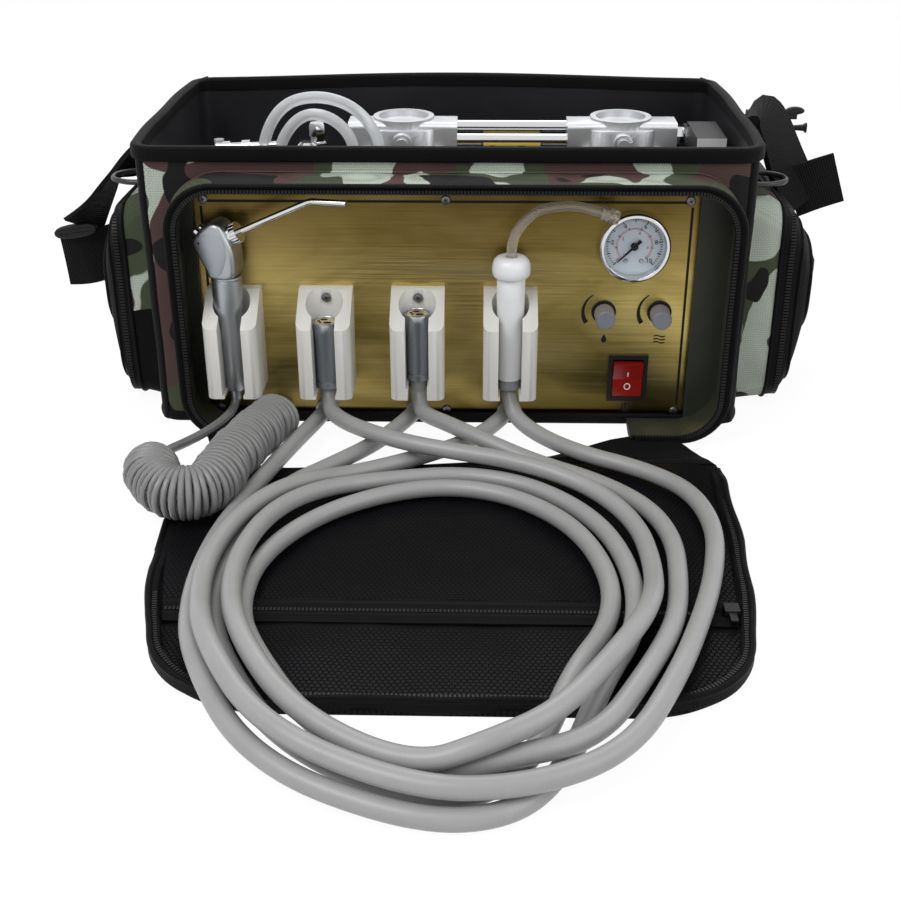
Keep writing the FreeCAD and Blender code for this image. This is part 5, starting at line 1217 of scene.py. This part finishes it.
def pocketRing(side, share, offset=0.0):
    # Share 0 is at the bag's wall and 1 at the outermost face. The foot rises and the top falls
    # with a power of the share, so the pocket is full in the middle and rounded at its rim.
    p = sidePocket
    low = p["low"] + 0.090 * max(0.0, (share - 0.48) / 0.52) ** 2.3
    high = p["high"] - 0.052 * max(0.0, share) ** 2.7
    half = p["halfWidth"] * (1 - 0.52 * max(0.0, share) ** 6)
    points, facing = oblong(half, low, high, 0.010 + 0.018 * max(0.0, share))
    y, z = points[:, 0], points[:, 1]
    fullness = np.clip(share / 0.35, 0, 1) * np.clip((1.02 - share) / 0.35, 0, 1)
    swell = 0.0016 * np.sin(52 * z + 5 * share) * np.sin(47 * y + 2 + side) * fullness
    out = p["reach"][side] * share
    push = swell + offset
    line = np.column_stack([np.full(len(y), side * (bag["halfWidth"] + out)),
                            y + facing[:, 0] * push, z + facing[:, 1] * push])
    return line, np.column_stack([np.zeros(len(y)), facing])


def makePocket(name, side, node):
    p = sidePocket
    shares = np.unique(np.round(np.concatenate([np.linspace(-0.02, 0.72, 24),
                                                1 - 0.28 * np.linspace(1, 0, 16) ** 2,
                                                [p["camoTo"], p["tapeTo"]]]), 4))
    rings = [pocketRing(side, share)[0] for share in shares]
    size = len(rings[0])
    points = np.concatenate(rings)
    faces = gridFaces(len(shares), size, False, True).tolist()
    mark = []
    for share in (shares[:-1] + shares[1:]) / 2:
        mark += [0 if share < p["camoTo"] else 1 if share < p["tapeTo"] else 2] * size
    hub = np.array([rings[-1].mean(axis=0) + (side * 0.0003, 0, 0), rings[0].mean(axis=0)])
    last = (len(shares) - 1) * size
    total = len(points)
    faces += [[last + k, last + (k + 1) % size, total] for k in range(size)]
    faces += [[(k + 1) % size, k, total + 1] for k in range(size)]
    mark += [2] * size + [0] * size
    shaded = np.concatenate([points, hub])[np.array([face[:3] for face in faces])].mean(axis=1)
    if side < 0:    # painted shade: the left pocket's camouflage below this height is black cloth
        mark = np.where((shaded[:, 2] < p["paintedShadeFoot"]) & (np.array(mark) == 0), 2, mark).tolist()
    body = shape(np.concatenate([points, hub]), faces, mark)
    zipLine, zipOut = pocketRing(side, p["zipAt"], 0.0005)
    closed = np.concatenate([zipLine, zipLine[:1]])
    out = np.concatenate([zipOut, zipOut[:1]])
    tooth = np.array([side, 0.0, 0.0])
    along = lengthsAlong(closed)
    spots = np.arange(0, along[-1], p["toothPitch"])
    at = readAt(spots, along, closed)
    normal = unit(readAt(spots, along, out))
    teeth = manyBoxes(at, np.cross(normal, tooth) * 0.0006, tooth * 0.0017, normal * 0.0006, 3)
    beads = []
    for share, radius in ((p["camoTo"], 0.0013), (p["tapeTo"], 0.0011), (0.86, 0.0017)):
        line, normal = pocketRing(side, share, 0.0003)
        beads.append(sweep(line, np.repeat([tooth], len(line), 0), normal, oval(radius, radius, 8),
                           True, 1))
    piece = makePiece(name, [body, teeth] + beads, [camoCloth, blackTape, blackCloth, zipperBlack],
                      "unit", [node])


makePocket("pocket_left_cloth", -1, "left_side_pocket")
makePocket("pocket_right_cloth", 1, "right_side_pocket")


# Straps: flat bands carried along lines worked out as smooth routes.

strapBand = {"width": 0.038, "thickness": 0.0019}


def ribbon(route, across, width, thickness, spacing=0.003, turning=1.0):
    # A flat band: side = the direction across, lift = run x side, corners slightly rounded.
    line = smoothLine(route, spacing)
    t = np.linspace(0, 1, len(line)) ** turning
    start, end = np.array(across[0], float), np.array(across[1], float)
    side = unit(start + (end - start) * t[:, None])
    run = unit(np.gradient(line, axis=0))
    side = unit(side - run * np.sum(side * run, axis=1, keepdims=True))
    lift = np.cross(run, side)
    a, b = width / 2, thickness / 2
    steps = np.linspace(-1, 1, 9)
    curl = 0.0006 * (1 - steps ** 2)
    top = np.column_stack([steps * a, b + curl])
    low = np.column_stack([steps[::-1] * a, -b + curl[::-1]])
    return sweep(line, side, lift, np.concatenate([top, low]))


leftBands = [
    ribbon(metres([(-195.8, 2, 170), (-206, 1, 171), (-222, 0, 159), (-238, -1, 140),
                   (-248, -2, 123), (-262, -3, 106)]),
           ((0, 1, 0), (0.72, 0.69, -0.05)), 0.036, 0.0030, turning=3.2),
    ribbon(metres([(-198.5, -10, 170), (-206, -10, 166), (-216, -10, 158), (-227, -9, 144)]),
           ((0.20, 0.93, -0.26), (0.26, 0.90, -0.30)), 0.032, 0.0036),
    ribbon(metres([(-278.5, -3, 80), (-268, -5, 80.5), (-254, -4, 83.5), (-240, 2, 87)]),
           ((0.27, 0, -0.96), (0.20, 0.05, -0.98)), strapBand["width"], strapBand["thickness"])]
makePiece("strap_left_webbing", leftBands, [webbing], "unit", ["left_strap"])
rightBands = [
    ribbon(metres([(196.5, 4, 170), (202, 4, 179), (212, 3, 189.5), (221, 1, 180),
                   (232, -1, 152), (246.5, -3, 124)]),
           ((0, 1, 0), (0.72, 0.62, 0.32)), strapBand["width"], 0.0042, turning=0.35),
    ribbon(metres([(238, 0, 130), (248, -1, 134.5), (258, -3, 139), (269.5, -4, 143)]),
           ((0.47, 0, -0.88), (0.47, 0.05, -0.88)), 0.036, strapBand["thickness"])]
makePiece("strap_right_webbing", rightBands, [webbing], "unit", ["right_strap"])

# Slider at the end of the left strap: a rounded plate with two thin bars raised on its face.
strapSlider = {"place": (-0.2665, -0.0075, 0.1030), "tilt": 9.0}
sliderFrame = softened(metres([(-15.5, -5), (15.5, -5), (15.5, 5), (-15.5, 5)]))
slider = roundedSlab(sliderFrame, 0.0022, 0.0012, 4)
bar = manyBoxes([(0, -0.0026, 0.0015), (0, -0.0026, -0.0015)], (0.0125, 0, 0), (0, 0.0005, 0),
                (0, 0, 0.0004))
tilt = math.radians(strapSlider["tilt"])
turnedAway = np.array([[math.cos(tilt), 0, math.sin(tilt)], [0, 1, 0],
                       [-math.sin(tilt), 0, math.cos(tilt)]])
for part in (slider, bar):
    part["points"] = part["points"] @ turnedAway + strapSlider["place"]
makePiece("strap_slider", [slider, bar], [blackPlastic], "unit")

# The buckle's two barbs and its middle pin, on the buckle's middle plane.
hookLine = oval(0.0066, 0.0027, 20)
hooks = [roundedSlab(hookLine + (0.2455, 0.1778), 0.0022, 0.0010, 4),
         roundedSlab(hookLine * (0.9, 1) + (0.2450, 0.1536), 0.0022, 0.0010, 4),
         roundedSlab(softened(metres([(230, 164), (252, 164), (254, 162.2), (255.2, 162.2),
                                      (255.2, 169), (254, 169), (252, 167.4), (230, 167.4)]), 1),
                     0.0020, 0.0008, 4)]
hookY = 0.0440
for hook in hooks:
    hook["points"] = hook["points"] + (0, hookY, 0)
makePiece("buckle_hooks", hooks, [blackPlastic], "unit")

# Each ring's keeper: a roll of webbing round the ring's bar, with a band down the bag's side.
keeper = {"x": 0.201, "y": -0.045, "z": 0.153, "half": 0.012, "bandWidth": 0.023}
for side, name in ((-1, "ring_keeper_left"), (1, "ring_keeper_right")):
    line = between((side * keeper["x"], keeper["y"] - keeper["half"], keeper["z"]),
                   (side * keeper["x"], keeper["y"] + keeper["half"], keeper["z"]), 8)
    roll = sweep(line, (1, 0, 0), (0, 0, 1), oval(0.0042, 0.0040, 14))
    bandLine = [(side * x, keeper["y"], z) for x, z in ((0.1958, 0.137), (0.1975, 0.139),
                                                        (0.1985, 0.147), (0.1985, keeper["z"]))]
    band = ribbon(bandLine, ((0, 1, 0), (0, 1, 0)), keeper["bandWidth"], 0.0018, 0.002)
    makePiece(name, [roll, band], [webbing], "unit")
print("pockets and straps made")


# Chosen CAD pieces with their finishes

for name in ("syringe_holder", "handpiece_holder_1", "handpiece_holder_2", "suction_holder"):
    softEdged(name, 0.0011, ivory)
for name in ("syringe_air_button", "syringe_water_button"):
    softEdged(name, 0.0004, chrome)
softEdged("switch_bezel", 0.0006, blackPlastic)
softEdged("switch_rocker", 0.0009, redPlastic)
softEdged("zip_slider", 0.0006, zipperBlack)
for name, width in (("strap_buckle", 0.0012), ("power_inlet", 0.0006), ("pressure_switch", 0.0012)):
    softEdged(name, width, blackPlastic)
softEdged("compressor_heads", 0.0014, castAlloy)
softEdged("gauge_case", 0.0004, chrome)
softEdged("cooling_fan", 0.0008, blackPlastic)

# The pressure switch has a lighter cover in front and a nickel union on its left.
switchMesh = bpy.data.objects["pressure_switch_finished"].data
switchMesh.materials.append(coverGrey)
facings = valuesOf(switchMesh.polygons, "normal")
middles = valuesOf(switchMesh.polygons, "center")
frontMost = (facings[:, 1] < -0.9) & (middles[:, 1] < middles[:, 1].min() + 0.002)
switchMesh.materials.append(chrome)
union = middles[:, 0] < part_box("pressure_switch")[1][0] - 0.0202
finishes = np.where(union, 2, frontMost).astype(int)
switchMesh.polygons.foreach_set("material_index", finishes.tolist())

painted = {"chassis": zincSteel, "front_panel": brass, "hose_glands": satinAluminium,
           "compressor_cylinders": castAlloy, "nozzle_nut": chrome, "syringe_nozzle": chrome,
           "left_d_ring": ringPlastic, "right_d_ring": ringPlastic, "crossover_tubes": chrome,
           "air_manifold": chrome, "gauge_dial": dialWhite, "ejector_tube": clearTube,
           "gauge_needle": inkBlack, "gauge_lens": lensGlass, "needle_valves": blackPlastic,
           "compressor_motor": motorPaint, "air_tank": tankPaint, "rubber_mounts": blackRubber,
           "water_bottle": bottlePlastic}
for name, material in painted.items():
    materials = nodes[name].data.materials
    materials.clear()
    materials.append(material)
print("CAD pieces painted")


# Syringe, in its own millimetres: +X towards the nozzle, then turned and set on its axis.

syringe = {"x": -139.0, "y": -117.0, "turn": -12.0, "half": 9.5}


def inSyringe(one):
    angle = math.radians(syringe["turn"])
    points = one["points"]
    x = points[:, 0] * math.cos(angle) - points[:, 1] * math.sin(angle)
    y = points[:, 0] * math.sin(angle) + points[:, 1] * math.cos(angle)
    placed = np.column_stack([x + syringe["x"], y + syringe["y"], points[:, 2]]) / 1000
    return {**one, "points": placed}


headOutline = softened([(-8.9, 108.4), (-9.4, 113), (-13.4, 122), (-17.4, 129), (-17.8, 133.4),
                        (-11.8, 141), (-5.5, 144.9), (-1.2, 145.3), (2.4, 143.6), (5.6, 136.2),
                        (9.4, 128.4), (9.4, 118), (9, 108.4)])
facetOutline = softened([(-13.4, 136.2), (-15.6, 132.6), (-14.8, 129.2), (-11.2, 121.6),
                         (-7.6, 114.2), (-3.6, 110.2), (0.4, 112.2), (3.6, 119), (5.4, 127),
                         (4.6, 134.6), (0.6, 138.4), (-6.8, 138.6)])
head = roundedSlab(headOutline, syringe["half"], 3.0, 6)
facet = roundedSlab(facetOutline, 0.35, 0.3, 3, 1)
facet["points"] = facet["points"] - (0, syringe["half"] - 0.10, 0)
pin = lathe([(0, 0), (0.7, 0), (0.7, 0.12), (0, 0.12)], (-12.4, -syringe["half"] - 0.25, 132.4),
            (0, -1, 0), 16, 2)
barrel = lathe([(0, 24), (3.8, 24), (4.1, 31), (6.6, 31.2), (7.1, 31.9), (7.4, 62), (7.8, 74),
                (8.6, 84), (9.5, 92), (9.7, 97), (9.7, 107.2), (9.3, 107.5), (9.3, 108),
                (9.5, 108.3), (9.4, 109.2), (0, 109.2)], (0, 0, 0), (0, 0, 1), 48)
makePiece("syringe_finished", [inSyringe(part) for part in (barrel, head, facet, pin)],
          [satinAluminium, polishedFacet, inkBlack], "unit", ["syringe_body"])

# Handpiece connectors: a turned sleeve with a wider mouth, a gold face with its passages, and the
# hose's end inside the holder. The syringe, connectors and suction handpiece stand on one line.
standLine = -0.117
connectors = [{"x": -0.0775, "seat": 0.033}, {"x": -0.0180, "seat": 0.039}]
passages = [{"half": (2.6, 1.3), "at": (1.6, -2.6)}, {"half": (2.4, 1.1), "at": (-1.0, 2.8)},
            {"half": (0.9, 0.9), "at": (-4.2, 0.2)}, {"half": (0.8, 0.8), "at": (-3.0, -2.2)}]
sleeve = metres([(0, 0), (6.8, 0), (7.4, 0.5), (7.4, 4.6), (7, 4.9), (7, 5.4), (7.5, 5.7),
                 (7.6, 32), (8, 36), (8.6, 39), (8.7, 45), (8.4, 45.7), (7.4, 46), (7.1, 45.6),
                 (7.1, 44.6), (0, 44.6)])
goldFace = metres([(0, 44), (6.8, 44), (6.8, 45.5), (0, 45.5)])
faceHeight, hoseTop = 0.0456, 0.0006
for k, connector in enumerate(connectors, 1):
    x, seat = connector["x"], connector["seat"]
    stub = [(0, 0.0282), (0.0053, 0.0282), (0.0053, seat + hoseTop), (0, seat + hoseTop)]
    parts = [lathe(stub, (x, standLine, 0), (0, 0, 1), 24, 3),
             lathe(sleeve, (x, standLine, seat), (0, 0, 1), 48),
             lathe(goldFace, (x, standLine, seat), (0, 0, 1), 40, 1)]
    for passage in passages:
        slit = roundedSlab(oval(*metres(passage["half"]), 14), 0.0002, 0.0001, 3, 2)
        flat = slit["points"]
        dx, dy = metres(passage["at"])
        slit["points"] = np.column_stack([flat[:, 0] + x + dx, flat[:, 2] + standLine + dy,
                                          flat[:, 1] + seat + faceHeight])
        parts.append(slit)
    makePiece("connector_finished_" + str(k), parts,
              [connectorMetal, goldPlate, inkBlack, greyHose], "unit",
              ["handpiece_connectors", "connector_seals"])

# Screws: low pan heads with a dark cross, on the panel and in the holders
screws = {"x": (-0.153, 0.0, 0.153), "z": (0.154, 0.009), "face": -0.1010,
          "holderX": (-0.137, -0.0775, -0.018, 0.0415), "holderZ": 0.0905, "sunk": 0.0045}
screwHead = metres([(0, 0), (3, 0), (3, 0.9), (2.6, 1.4), (1.8, 1.6), (0, 1.6)])
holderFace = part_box("suction_holder")[1][1] - screws["sunk"]
screwPlaces = ([(x, screws["face"], z) for z in screws["z"] for x in screws["x"]]
               + [(x, holderFace, screws["holderZ"]) for x in screws["holderX"]])
crossArms = metres([(1.4, 0, 0.6), (-0.6, 0, 1.4)])
crossWidths = metres([(-0.12, 0, 0.28), (0.28, 0, 0.12)])
screwShapes = []
for place in screwPlaces:
    screwShapes.append(lathe(screwHead, place, (0, -1, 0), 28))
    middleOfHead = np.array(place) - (0, 0.00162, 0)
    screwShapes.append(manyBoxes([middleOfHead, middleOfHead], crossArms, (0, 0.00005, 0),
                                 crossWidths, 1))
makePiece("screws_finished", screwShapes, [screwSteel, inkBlack], "unit",
          ["panel_screws"])

# Suction handpiece with its turned cap
suction = {"place": (0.0415, standLine, 0), "up": (0, 0, 1)}
socketLine = metres([(0, 33), (6.6, 33), (6.9, 33.4), (6.9, 39.8), (0, 39.8)])
gripLine = metres([(0, 39.7), (7.4, 39.7), (8, 40.4), (8.1, 50), (8.2, 66), (8.6, 78), (9, 96),
                   (9, 107.8), (8.5, 109), (5.2, 109.4), (5, 114), (0, 114)])
capLine = metres([(5.2, 109.6), (9.9, 109.6), (11.3, 110.2), (12, 111.8), (12.1, 114.5),
                  (11.9, 117.5), (11.1, 120.1), (9.6, 121.8), (7.4, 122.8), (4.8, 123.1),
                  (3.8, 122.7), (3.6, 114), (5.2, 114), (5.2, 109.6)])
socket = lathe(socketLine, suction["place"], suction["up"], 40, 1)
grip = lathe(gripLine, suction["place"], suction["up"], 56)
makePiece("suction_handle_finished", [grip, socket], [whitePlastic, greySocket], "unit",
          ["suction_handle"])
makePiece("suction_cap_finished", lathe(capLine, suction["place"], suction["up"], 56),
          [whitePlastic], "unit", ["suction_cap"])

# Knobs: radius = row's radius * (1 - depth * flute), where the flute is the upper half of a cosine
# round the knob, and the depth grows and fades along the skirt.
knobs = {"z": 0.080, "back": -0.1032, "length": 0.0145, "radius": 0.0065, "flutes": 18,
         "depth": 0.075, "x": {"water_knob": 0.1025, "air_knob": 0.1385}}


def makeKnob(name, x):
    rows = np.array([(0.92, 0.0), (0.98, 0.0004), (1.0, 0.0010), (0.97, 0.0131), (0.94, 0.0141),
                     (0.86, 0.0145), (0.45, 0.0145)])
    angle = np.linspace(0, fullTurn, 160, endpoint=False)
    flute = np.clip(np.cos(angle * knobs["flutes"]), 0, 1) ** 0.7
    deep = np.array([0, 0.3, 1, 1, 0.5, 0, 0])[:, None] * knobs["depth"]
    radius = knobs["radius"] * rows[:, :1] * (1 - deep * flute[None])
    points = np.stack([x + radius * np.cos(angle), knobs["back"] - rows[:, 1:] + 0 * radius,
                       knobs["z"] + radius * np.sin(angle)], -1)
    index = manyBoxes([(x, knobs["back"] - knobs["length"] - 0.00005, knobs["z"] + 0.0038)],
                      (0.0003, 0, 0), (0, 0.0001, 0), (0, 0, 0.0015), 0)
    makePiece(name + "_finished", [loft(points), index], [greyPlastic, inkBlack], name,
              [name])


for name, x in knobs["x"].items():
    makeKnob(name, x)

# Two silicone tubes in high loops between their fittings, and the fitting under them
siliconeRoutes = [
    [(-134, 10, 112), (-134, 10, 140), (-129, 10, 171), (-113, 11, 191), (-87, 12, 194.5),
     (-63, 12, 185), (-48, 11, 163), (-52, 10, 136), (-66, 10, 122), (-66, 10, 112)],
    [(-124, 10, 112), (-123, 10, 140), (-118, 9, 166), (-101, 7, 184), (-80, 5, 181),
     (-66, 5, 164), (-68, 8, 138), (-76, 10, 124), (-76, 10, 112)]]
loops = makePiece("silicone_loops", [roundTube(smoothLine(metres(route), 0.003), 0.0040, 18,
                                               (0, 1, 0)) for route in siliconeRoutes],
                  [milkySilicone], "unit", ["silicone_tubes"])
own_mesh(loops)
fitting = [lathe(metres([(0, 150), (7.4, 150), (7.4, 161), (6.6, 161.8), (5.2, 162),
                         (5.2, 165.5), (6.2, 165.7), (6.2, 173.5), (5.4, 174.5), (0, 174.5)]),
                 (-0.0935, 0.0170, 0), (0, 0, 1), 6),
           lathe(metres([(0, 0), (4.2, 0), (4.2, 10), (3, 10.2), (3, 18), (4.4, 18.2), (4.4, 24),
                         (0, 24)]), (-0.1640, 0.010, 0.1585), (1, 0, 0.05), 20),
           lathe(metres([(0, 0), (2.6, 0), (2.6, 22), (0, 22)]), (-0.1420, 0.010, 0.1597),
                 (1, 0, 0.05), 16)]
makePiece("air_fittings", fitting, [chrome], "unit")
print("syringe, suction handpiece, knobs and tubes made")


# Print on the panel: border, arcs beside the knobs and signs under them

panel = {"face": -0.1011, "borderX": 0.1546, "borderTop": 0.1528, "borderLow": 0.0062,
         "line": 0.0008, "ink": 0.00008, "dropAt": (0.1035, 0.0612), "waveAt": (0.1360, 0.0632),
         "waveStep": 0.0022}
# The rocker switch, whose place the sign under it and the marks on it need.
rocker = {"x": 0.1205, "z": 0.0335, "front": -0.1046, "pivotY": -0.0991, "valley": 0.0014,
          "half": 0.0125, "tilt": 9.0}


def strips(places):
    # Thin raised strips, each from one (x, z) point to another.
    a = np.array([p[0] for p in places], float)
    b = np.array([p[1] for p in places], float)
    run = b - a
    length = np.linalg.norm(run, axis=1, keepdims=True)
    unitRun = run / length
    centre = (a + b) / 2
    centres = np.column_stack([centre[:, 0], np.full(len(a), panel["face"]), centre[:, 1]])
    along = np.column_stack([unitRun[:, 0], np.zeros(len(a)), unitRun[:, 1]])
    across = np.cross(along, (0, 1, 0))
    return manyBoxes(centres, along * (length / 2 + panel["line"]), across * panel["line"],
                     (0, panel["ink"], 0))


def arcBand(x, z, radius, start, end, thickStart, thickEnd, count=24):
    # Flat band along an arc whose width changes evenly from start to end.
    angle = np.radians(np.linspace(start, end, count))
    out = np.column_stack([np.cos(angle), np.zeros(count), np.sin(angle)])
    line = np.array([x, panel["face"], z]) + out * radius
    half = np.linspace(thickStart, thickEnd, count) / 2
    ink = panel["ink"]
    profile = sectionsOn(line, [(-1, -ink), (1, -ink), (1, ink), (-1, ink)])
    profile[:, :, 0] *= half[:, None]
    return sweep(line, out, (0, -1, 0), profile)


bx, top, low = panel["borderX"], panel["borderTop"], panel["borderLow"]
border = strips([((-bx + 0.004, top), (bx - 0.004, top)),
                 ((-bx, low + 0.008), (-bx, top - 0.004)),
                 ((bx, low + 0.008), (bx, top - 0.004)),
                 ((-bx + 0.008, low), (bx - 0.008, low))])
signs = [border]
for x in knobs["x"].values():
    signs.append(arcBand(x, knobs["z"], 0.0135, 215, 122, 0.0031, 0.0006))
drop = metres([(0, 3.2), (1.2, 1), (1.8, -0.4), (1.7, -1.6), (1, -2.6), (0, -3), (-1, -2.6),
               (-1.7, -1.6), (-1.8, -0.4), (-1.2, 1)])
dropX, dropZ = (drop + panel["dropAt"]).T
dropPoints = np.concatenate([np.column_stack([dropX, np.full(10, panel["face"] + d), dropZ])
                             for d in (-0.0001, 0.0001)])
dropFaces = gridFaces(2, 10, False, True).tolist() + [list(range(10)), list(range(10, 20))]
signs.append(shape(dropPoints, dropFaces))
for k in range(3):
    t = np.linspace(0, 1, 16)
    waveZ = panel["waveAt"][1] - k * panel["waveStep"] + 0.0005 * np.sin(t * fullTurn)
    wave = np.column_stack([panel["waveAt"][0] + t * 0.0075, np.full(16, panel["face"]), waveZ])
    signs.append(sweep(wave, (0, 0, 1), (0, -1, 0),
                       metres([(-0.4, -0.1), (0.4, -0.1), (0.4, 0.1), (-0.4, 0.1)])))
signs.append(arcBand(rocker["x"], 0.0112, 0.0027, 125, 415, 0.0011, 0.0011))
signs.append(strips([((rocker["x"], 0.0116), (rocker["x"], 0.0143))]))
makePiece("panel_print", signs, [inkBlack], "unit")

# Gauge dial: ticks and plain numbers, black outside and red inside
gauge = {"x": 0.1195, "z": 0.125, "face": -0.1021, "start": 225, "sweepBack": 270}


def dialPlace(radius, share):
    angle = math.radians(gauge["start"] - gauge["sweepBack"] * share)
    return (gauge["x"] + radius * math.cos(angle), gauge["face"],
            gauge["z"] + radius * math.sin(angle))


def ticks(radius, count, length, half, paint):
    share = np.linspace(0, 1, count)
    angle = np.radians(gauge["start"] - gauge["sweepBack"] * share)
    out = np.column_stack([np.cos(angle), np.zeros(count), np.sin(angle)])
    centres = np.array([gauge["x"], gauge["face"], gauge["z"]]) + out * radius
    return manyBoxes(centres, out * length / 2, np.cross(out, (0, 1, 0)) * half, (0, 0.00006, 0),
                     paint)


dial = [ticks(0.0172, 51, 0.0014, 0.00019, 0), ticks(0.0168, 11, 0.0024, 0.00032, 0),
        ticks(0.0112, 57, 0.0011, 0.00014, 1), ticks(0.0115, 8, 0.0018, 0.00026, 1)]
for last, size, radius, paint in ((10, 0.0040, 0.0140, 0), (7, 0.0028, 0.0086, 1)):
    for k in range(0, last + 1, 2):
        dial.append(lettering(str(k), size, dialPlace(radius, k / last), (1, 0, 0), (0, 0, 1),
                              0.00012, paint))
for x in (-0.0050, 0.0050):
    rivet = (gauge["x"] + x, gauge["face"] + 0.0001, gauge["z"] - 0.0100)
    dial.append(lathe(metres([(0, 0), (1.4, 0), (1.4, 0.5), (1, 0.9), (0, 0.9)]), rivet,
                      (0, -1, 0), 20, 2))
makePiece("gauge_print", dial, [inkBlack, inkRed, brightSteel], "unit")

# Marks on the rocker: its two faces meet in a shallow valley, tilted with the rocker.


def onRocker(height):
    # Point of the rocker's face at this height of its own, and the directions up and out of it.
    slope = rocker["valley"] / rocker["half"]
    y = rocker["front"] + rocker["valley"] - abs(height) * slope - 0.00012 - rocker["pivotY"]
    angle = math.radians(rocker["tilt"])
    lean = math.copysign(slope, height)
    up = unit(np.array([0.0, -lean, 1.0]))
    turn = np.array([[1, 0, 0], [0, math.cos(angle), -math.sin(angle)],
                     [0, math.sin(angle), math.cos(angle)]])
    place = turn @ np.array([0.0, y, height]) + (rocker["x"], rocker["pivotY"], rocker["z"])
    return place, turn @ up


upperPlace, upperUp = onRocker(0.0042)
lowerPlace, lowerUp = onRocker(-0.0052)
right = np.array([1.0, 0.0, 0.0])
line = manyBoxes([upperPlace], right * 0.00035, upperUp * 0.0017,
                 np.cross(right, upperUp) * 0.00010)
angle = np.linspace(0, fullTurn, 33)[:-1]
loop = (lowerPlace + 0.0019 * np.cos(angle)[:, None] * right
        + 0.0021 * np.sin(angle)[:, None] * lowerUp)
outward = unit(loop - lowerPlace)
circle = sweep(loop, outward, np.cross(right, lowerUp), oval(0.00035, 0.00010, 8), True)
makePiece("rocker_marks", [line, circle], [inkWhite], "switch_rocker")
print("print and dial made")


# Yellow plate on the motor's terminal box
plate = {"centre": (0.044, 0.041, 0.15225), "half": (0.0205, 0.0118, 0.0004), "marks": 5}
plateMarks = [(0.030 + 0.007 * k, 0.037 + 0.004 * (k % 3), 0.15275) for k in range(plate["marks"])]
makePiece("rating_plate", [manyBoxes([plate["centre"]], *np.diag(plate["half"])),
                           manyBoxes(plateMarks, *np.diag((0.0022, 0.0005, 0.0001)), 1)],
          [yellowPlate, inkBlack], "unit")


# Floor, light and camera. Each lamp has its place, width and power. The glow and the sky are
# stronger where rays see them directly.
studio = {"glow": 1.04, "glowShare": 0.90, "skySeen": 0.45, "sky": 0.55, "aim": (0, -0.1, 0.08),
          "lamps": {"key": ((-0.7, -1.0, 1.4), 0.9, 15.0), "fill": ((1.1, -0.8, 0.9), 1.0, 6.0),
                    "rear": ((0.1, 0.9, 1.3), 1.0, 7.0)}}


def seenByRays(tree):
    # 1 for camera, glossy and transmission rays, else 0.
    rays = add(tree, "LightPath").outputs
    return maths(tree, "MAXIMUM", rays["Is Camera Ray"],
                 maths(tree, "MAXIMUM", rays["Is Glossy Ray"], rays["Is Transmission Ray"]))


def stageAndLight():
    corners = [(-4, -4, 0), (4, -4, 0), (4, 6, 0), (-4, 6, 0)]
    floor = makePiece("floor", shape(corners, [[0, 1, 2, 3]]), [], None)
    material, tree, shader, place, uv = newSurface("paleFloor", 0.9)
    shade = noise(tree, place, 3.0, 2.0)
    feed(tree, shader.inputs["Base Color"],
         mixed(tree, shade, (0.83, 0.83, 0.83, 1), (0.86, 0.86, 0.86, 1)))
    glow = add(tree, "Emission", {"Color": (1, 1, 1, 1), "Strength": studio["glow"]})
    seen = seenByRays(tree)
    share = maths(tree, "MULTIPLY", seen, studio["glowShare"])
    blend = add(tree, "MixShader", {0: share, 1: shader.outputs[0], 2: glow.outputs[0]})
    tree.links.new(blend.outputs[0], tree.nodes["Material Output"].inputs["Surface"])
    floor.data.materials.append(material)
    world = bpy.data.worlds.new("studio")
    scene.world = world
    world.use_nodes = True
    tree = world.node_tree
    background = tree.nodes["Background"]
    seen = seenByRays(tree)
    feed(tree, background.inputs["Color"], (1, 1, 1, 1))
    feed(tree, background.inputs["Strength"],
         maths(tree, "MULTIPLY_ADD", seen, studio["skySeen"], studio["sky"]))
    for name, (place, size, power) in studio["lamps"].items():
        lamp = bpy.data.lights.new(name, "AREA")
        lamp.size = size
        lamp.energy = power
        holder = inScene(name, lamp)
        away = unit(np.array(place) - studio["aim"])
        side = unit(np.cross((0, 0, 1), away))
        rows = np.column_stack([side, np.cross(away, side), away, place]).tolist()
        holder.matrix_world = Matrix(rows + [[0, 0, 0, 1]])


view = {"place": (0.022, -0.895, 0.386), "pitch": 27.2, "yaw": 1.43, "roll": -0.17, "lens": 51.88}
camera = bpy.data.cameras.new("camera")
camera.lens = view["lens"]
camera.sensor_width = 36
camera.clip_start = 0.01
cameraObject = inScene("camera", camera)
cameraObject.matrix_world = (Matrix.Translation(view["place"])
                             @ Matrix.Rotation(math.radians(view["yaw"]), 4, "Z")
                             @ Matrix.Rotation(math.radians(90 - view["pitch"]), 4, "X")
                             @ Matrix.Rotation(math.radians(view["roll"]), 4, "Z"))
scene.camera = cameraObject
stageAndLight()
scene.view_settings.view_transform = "Standard"
print("floor, light and camera set")
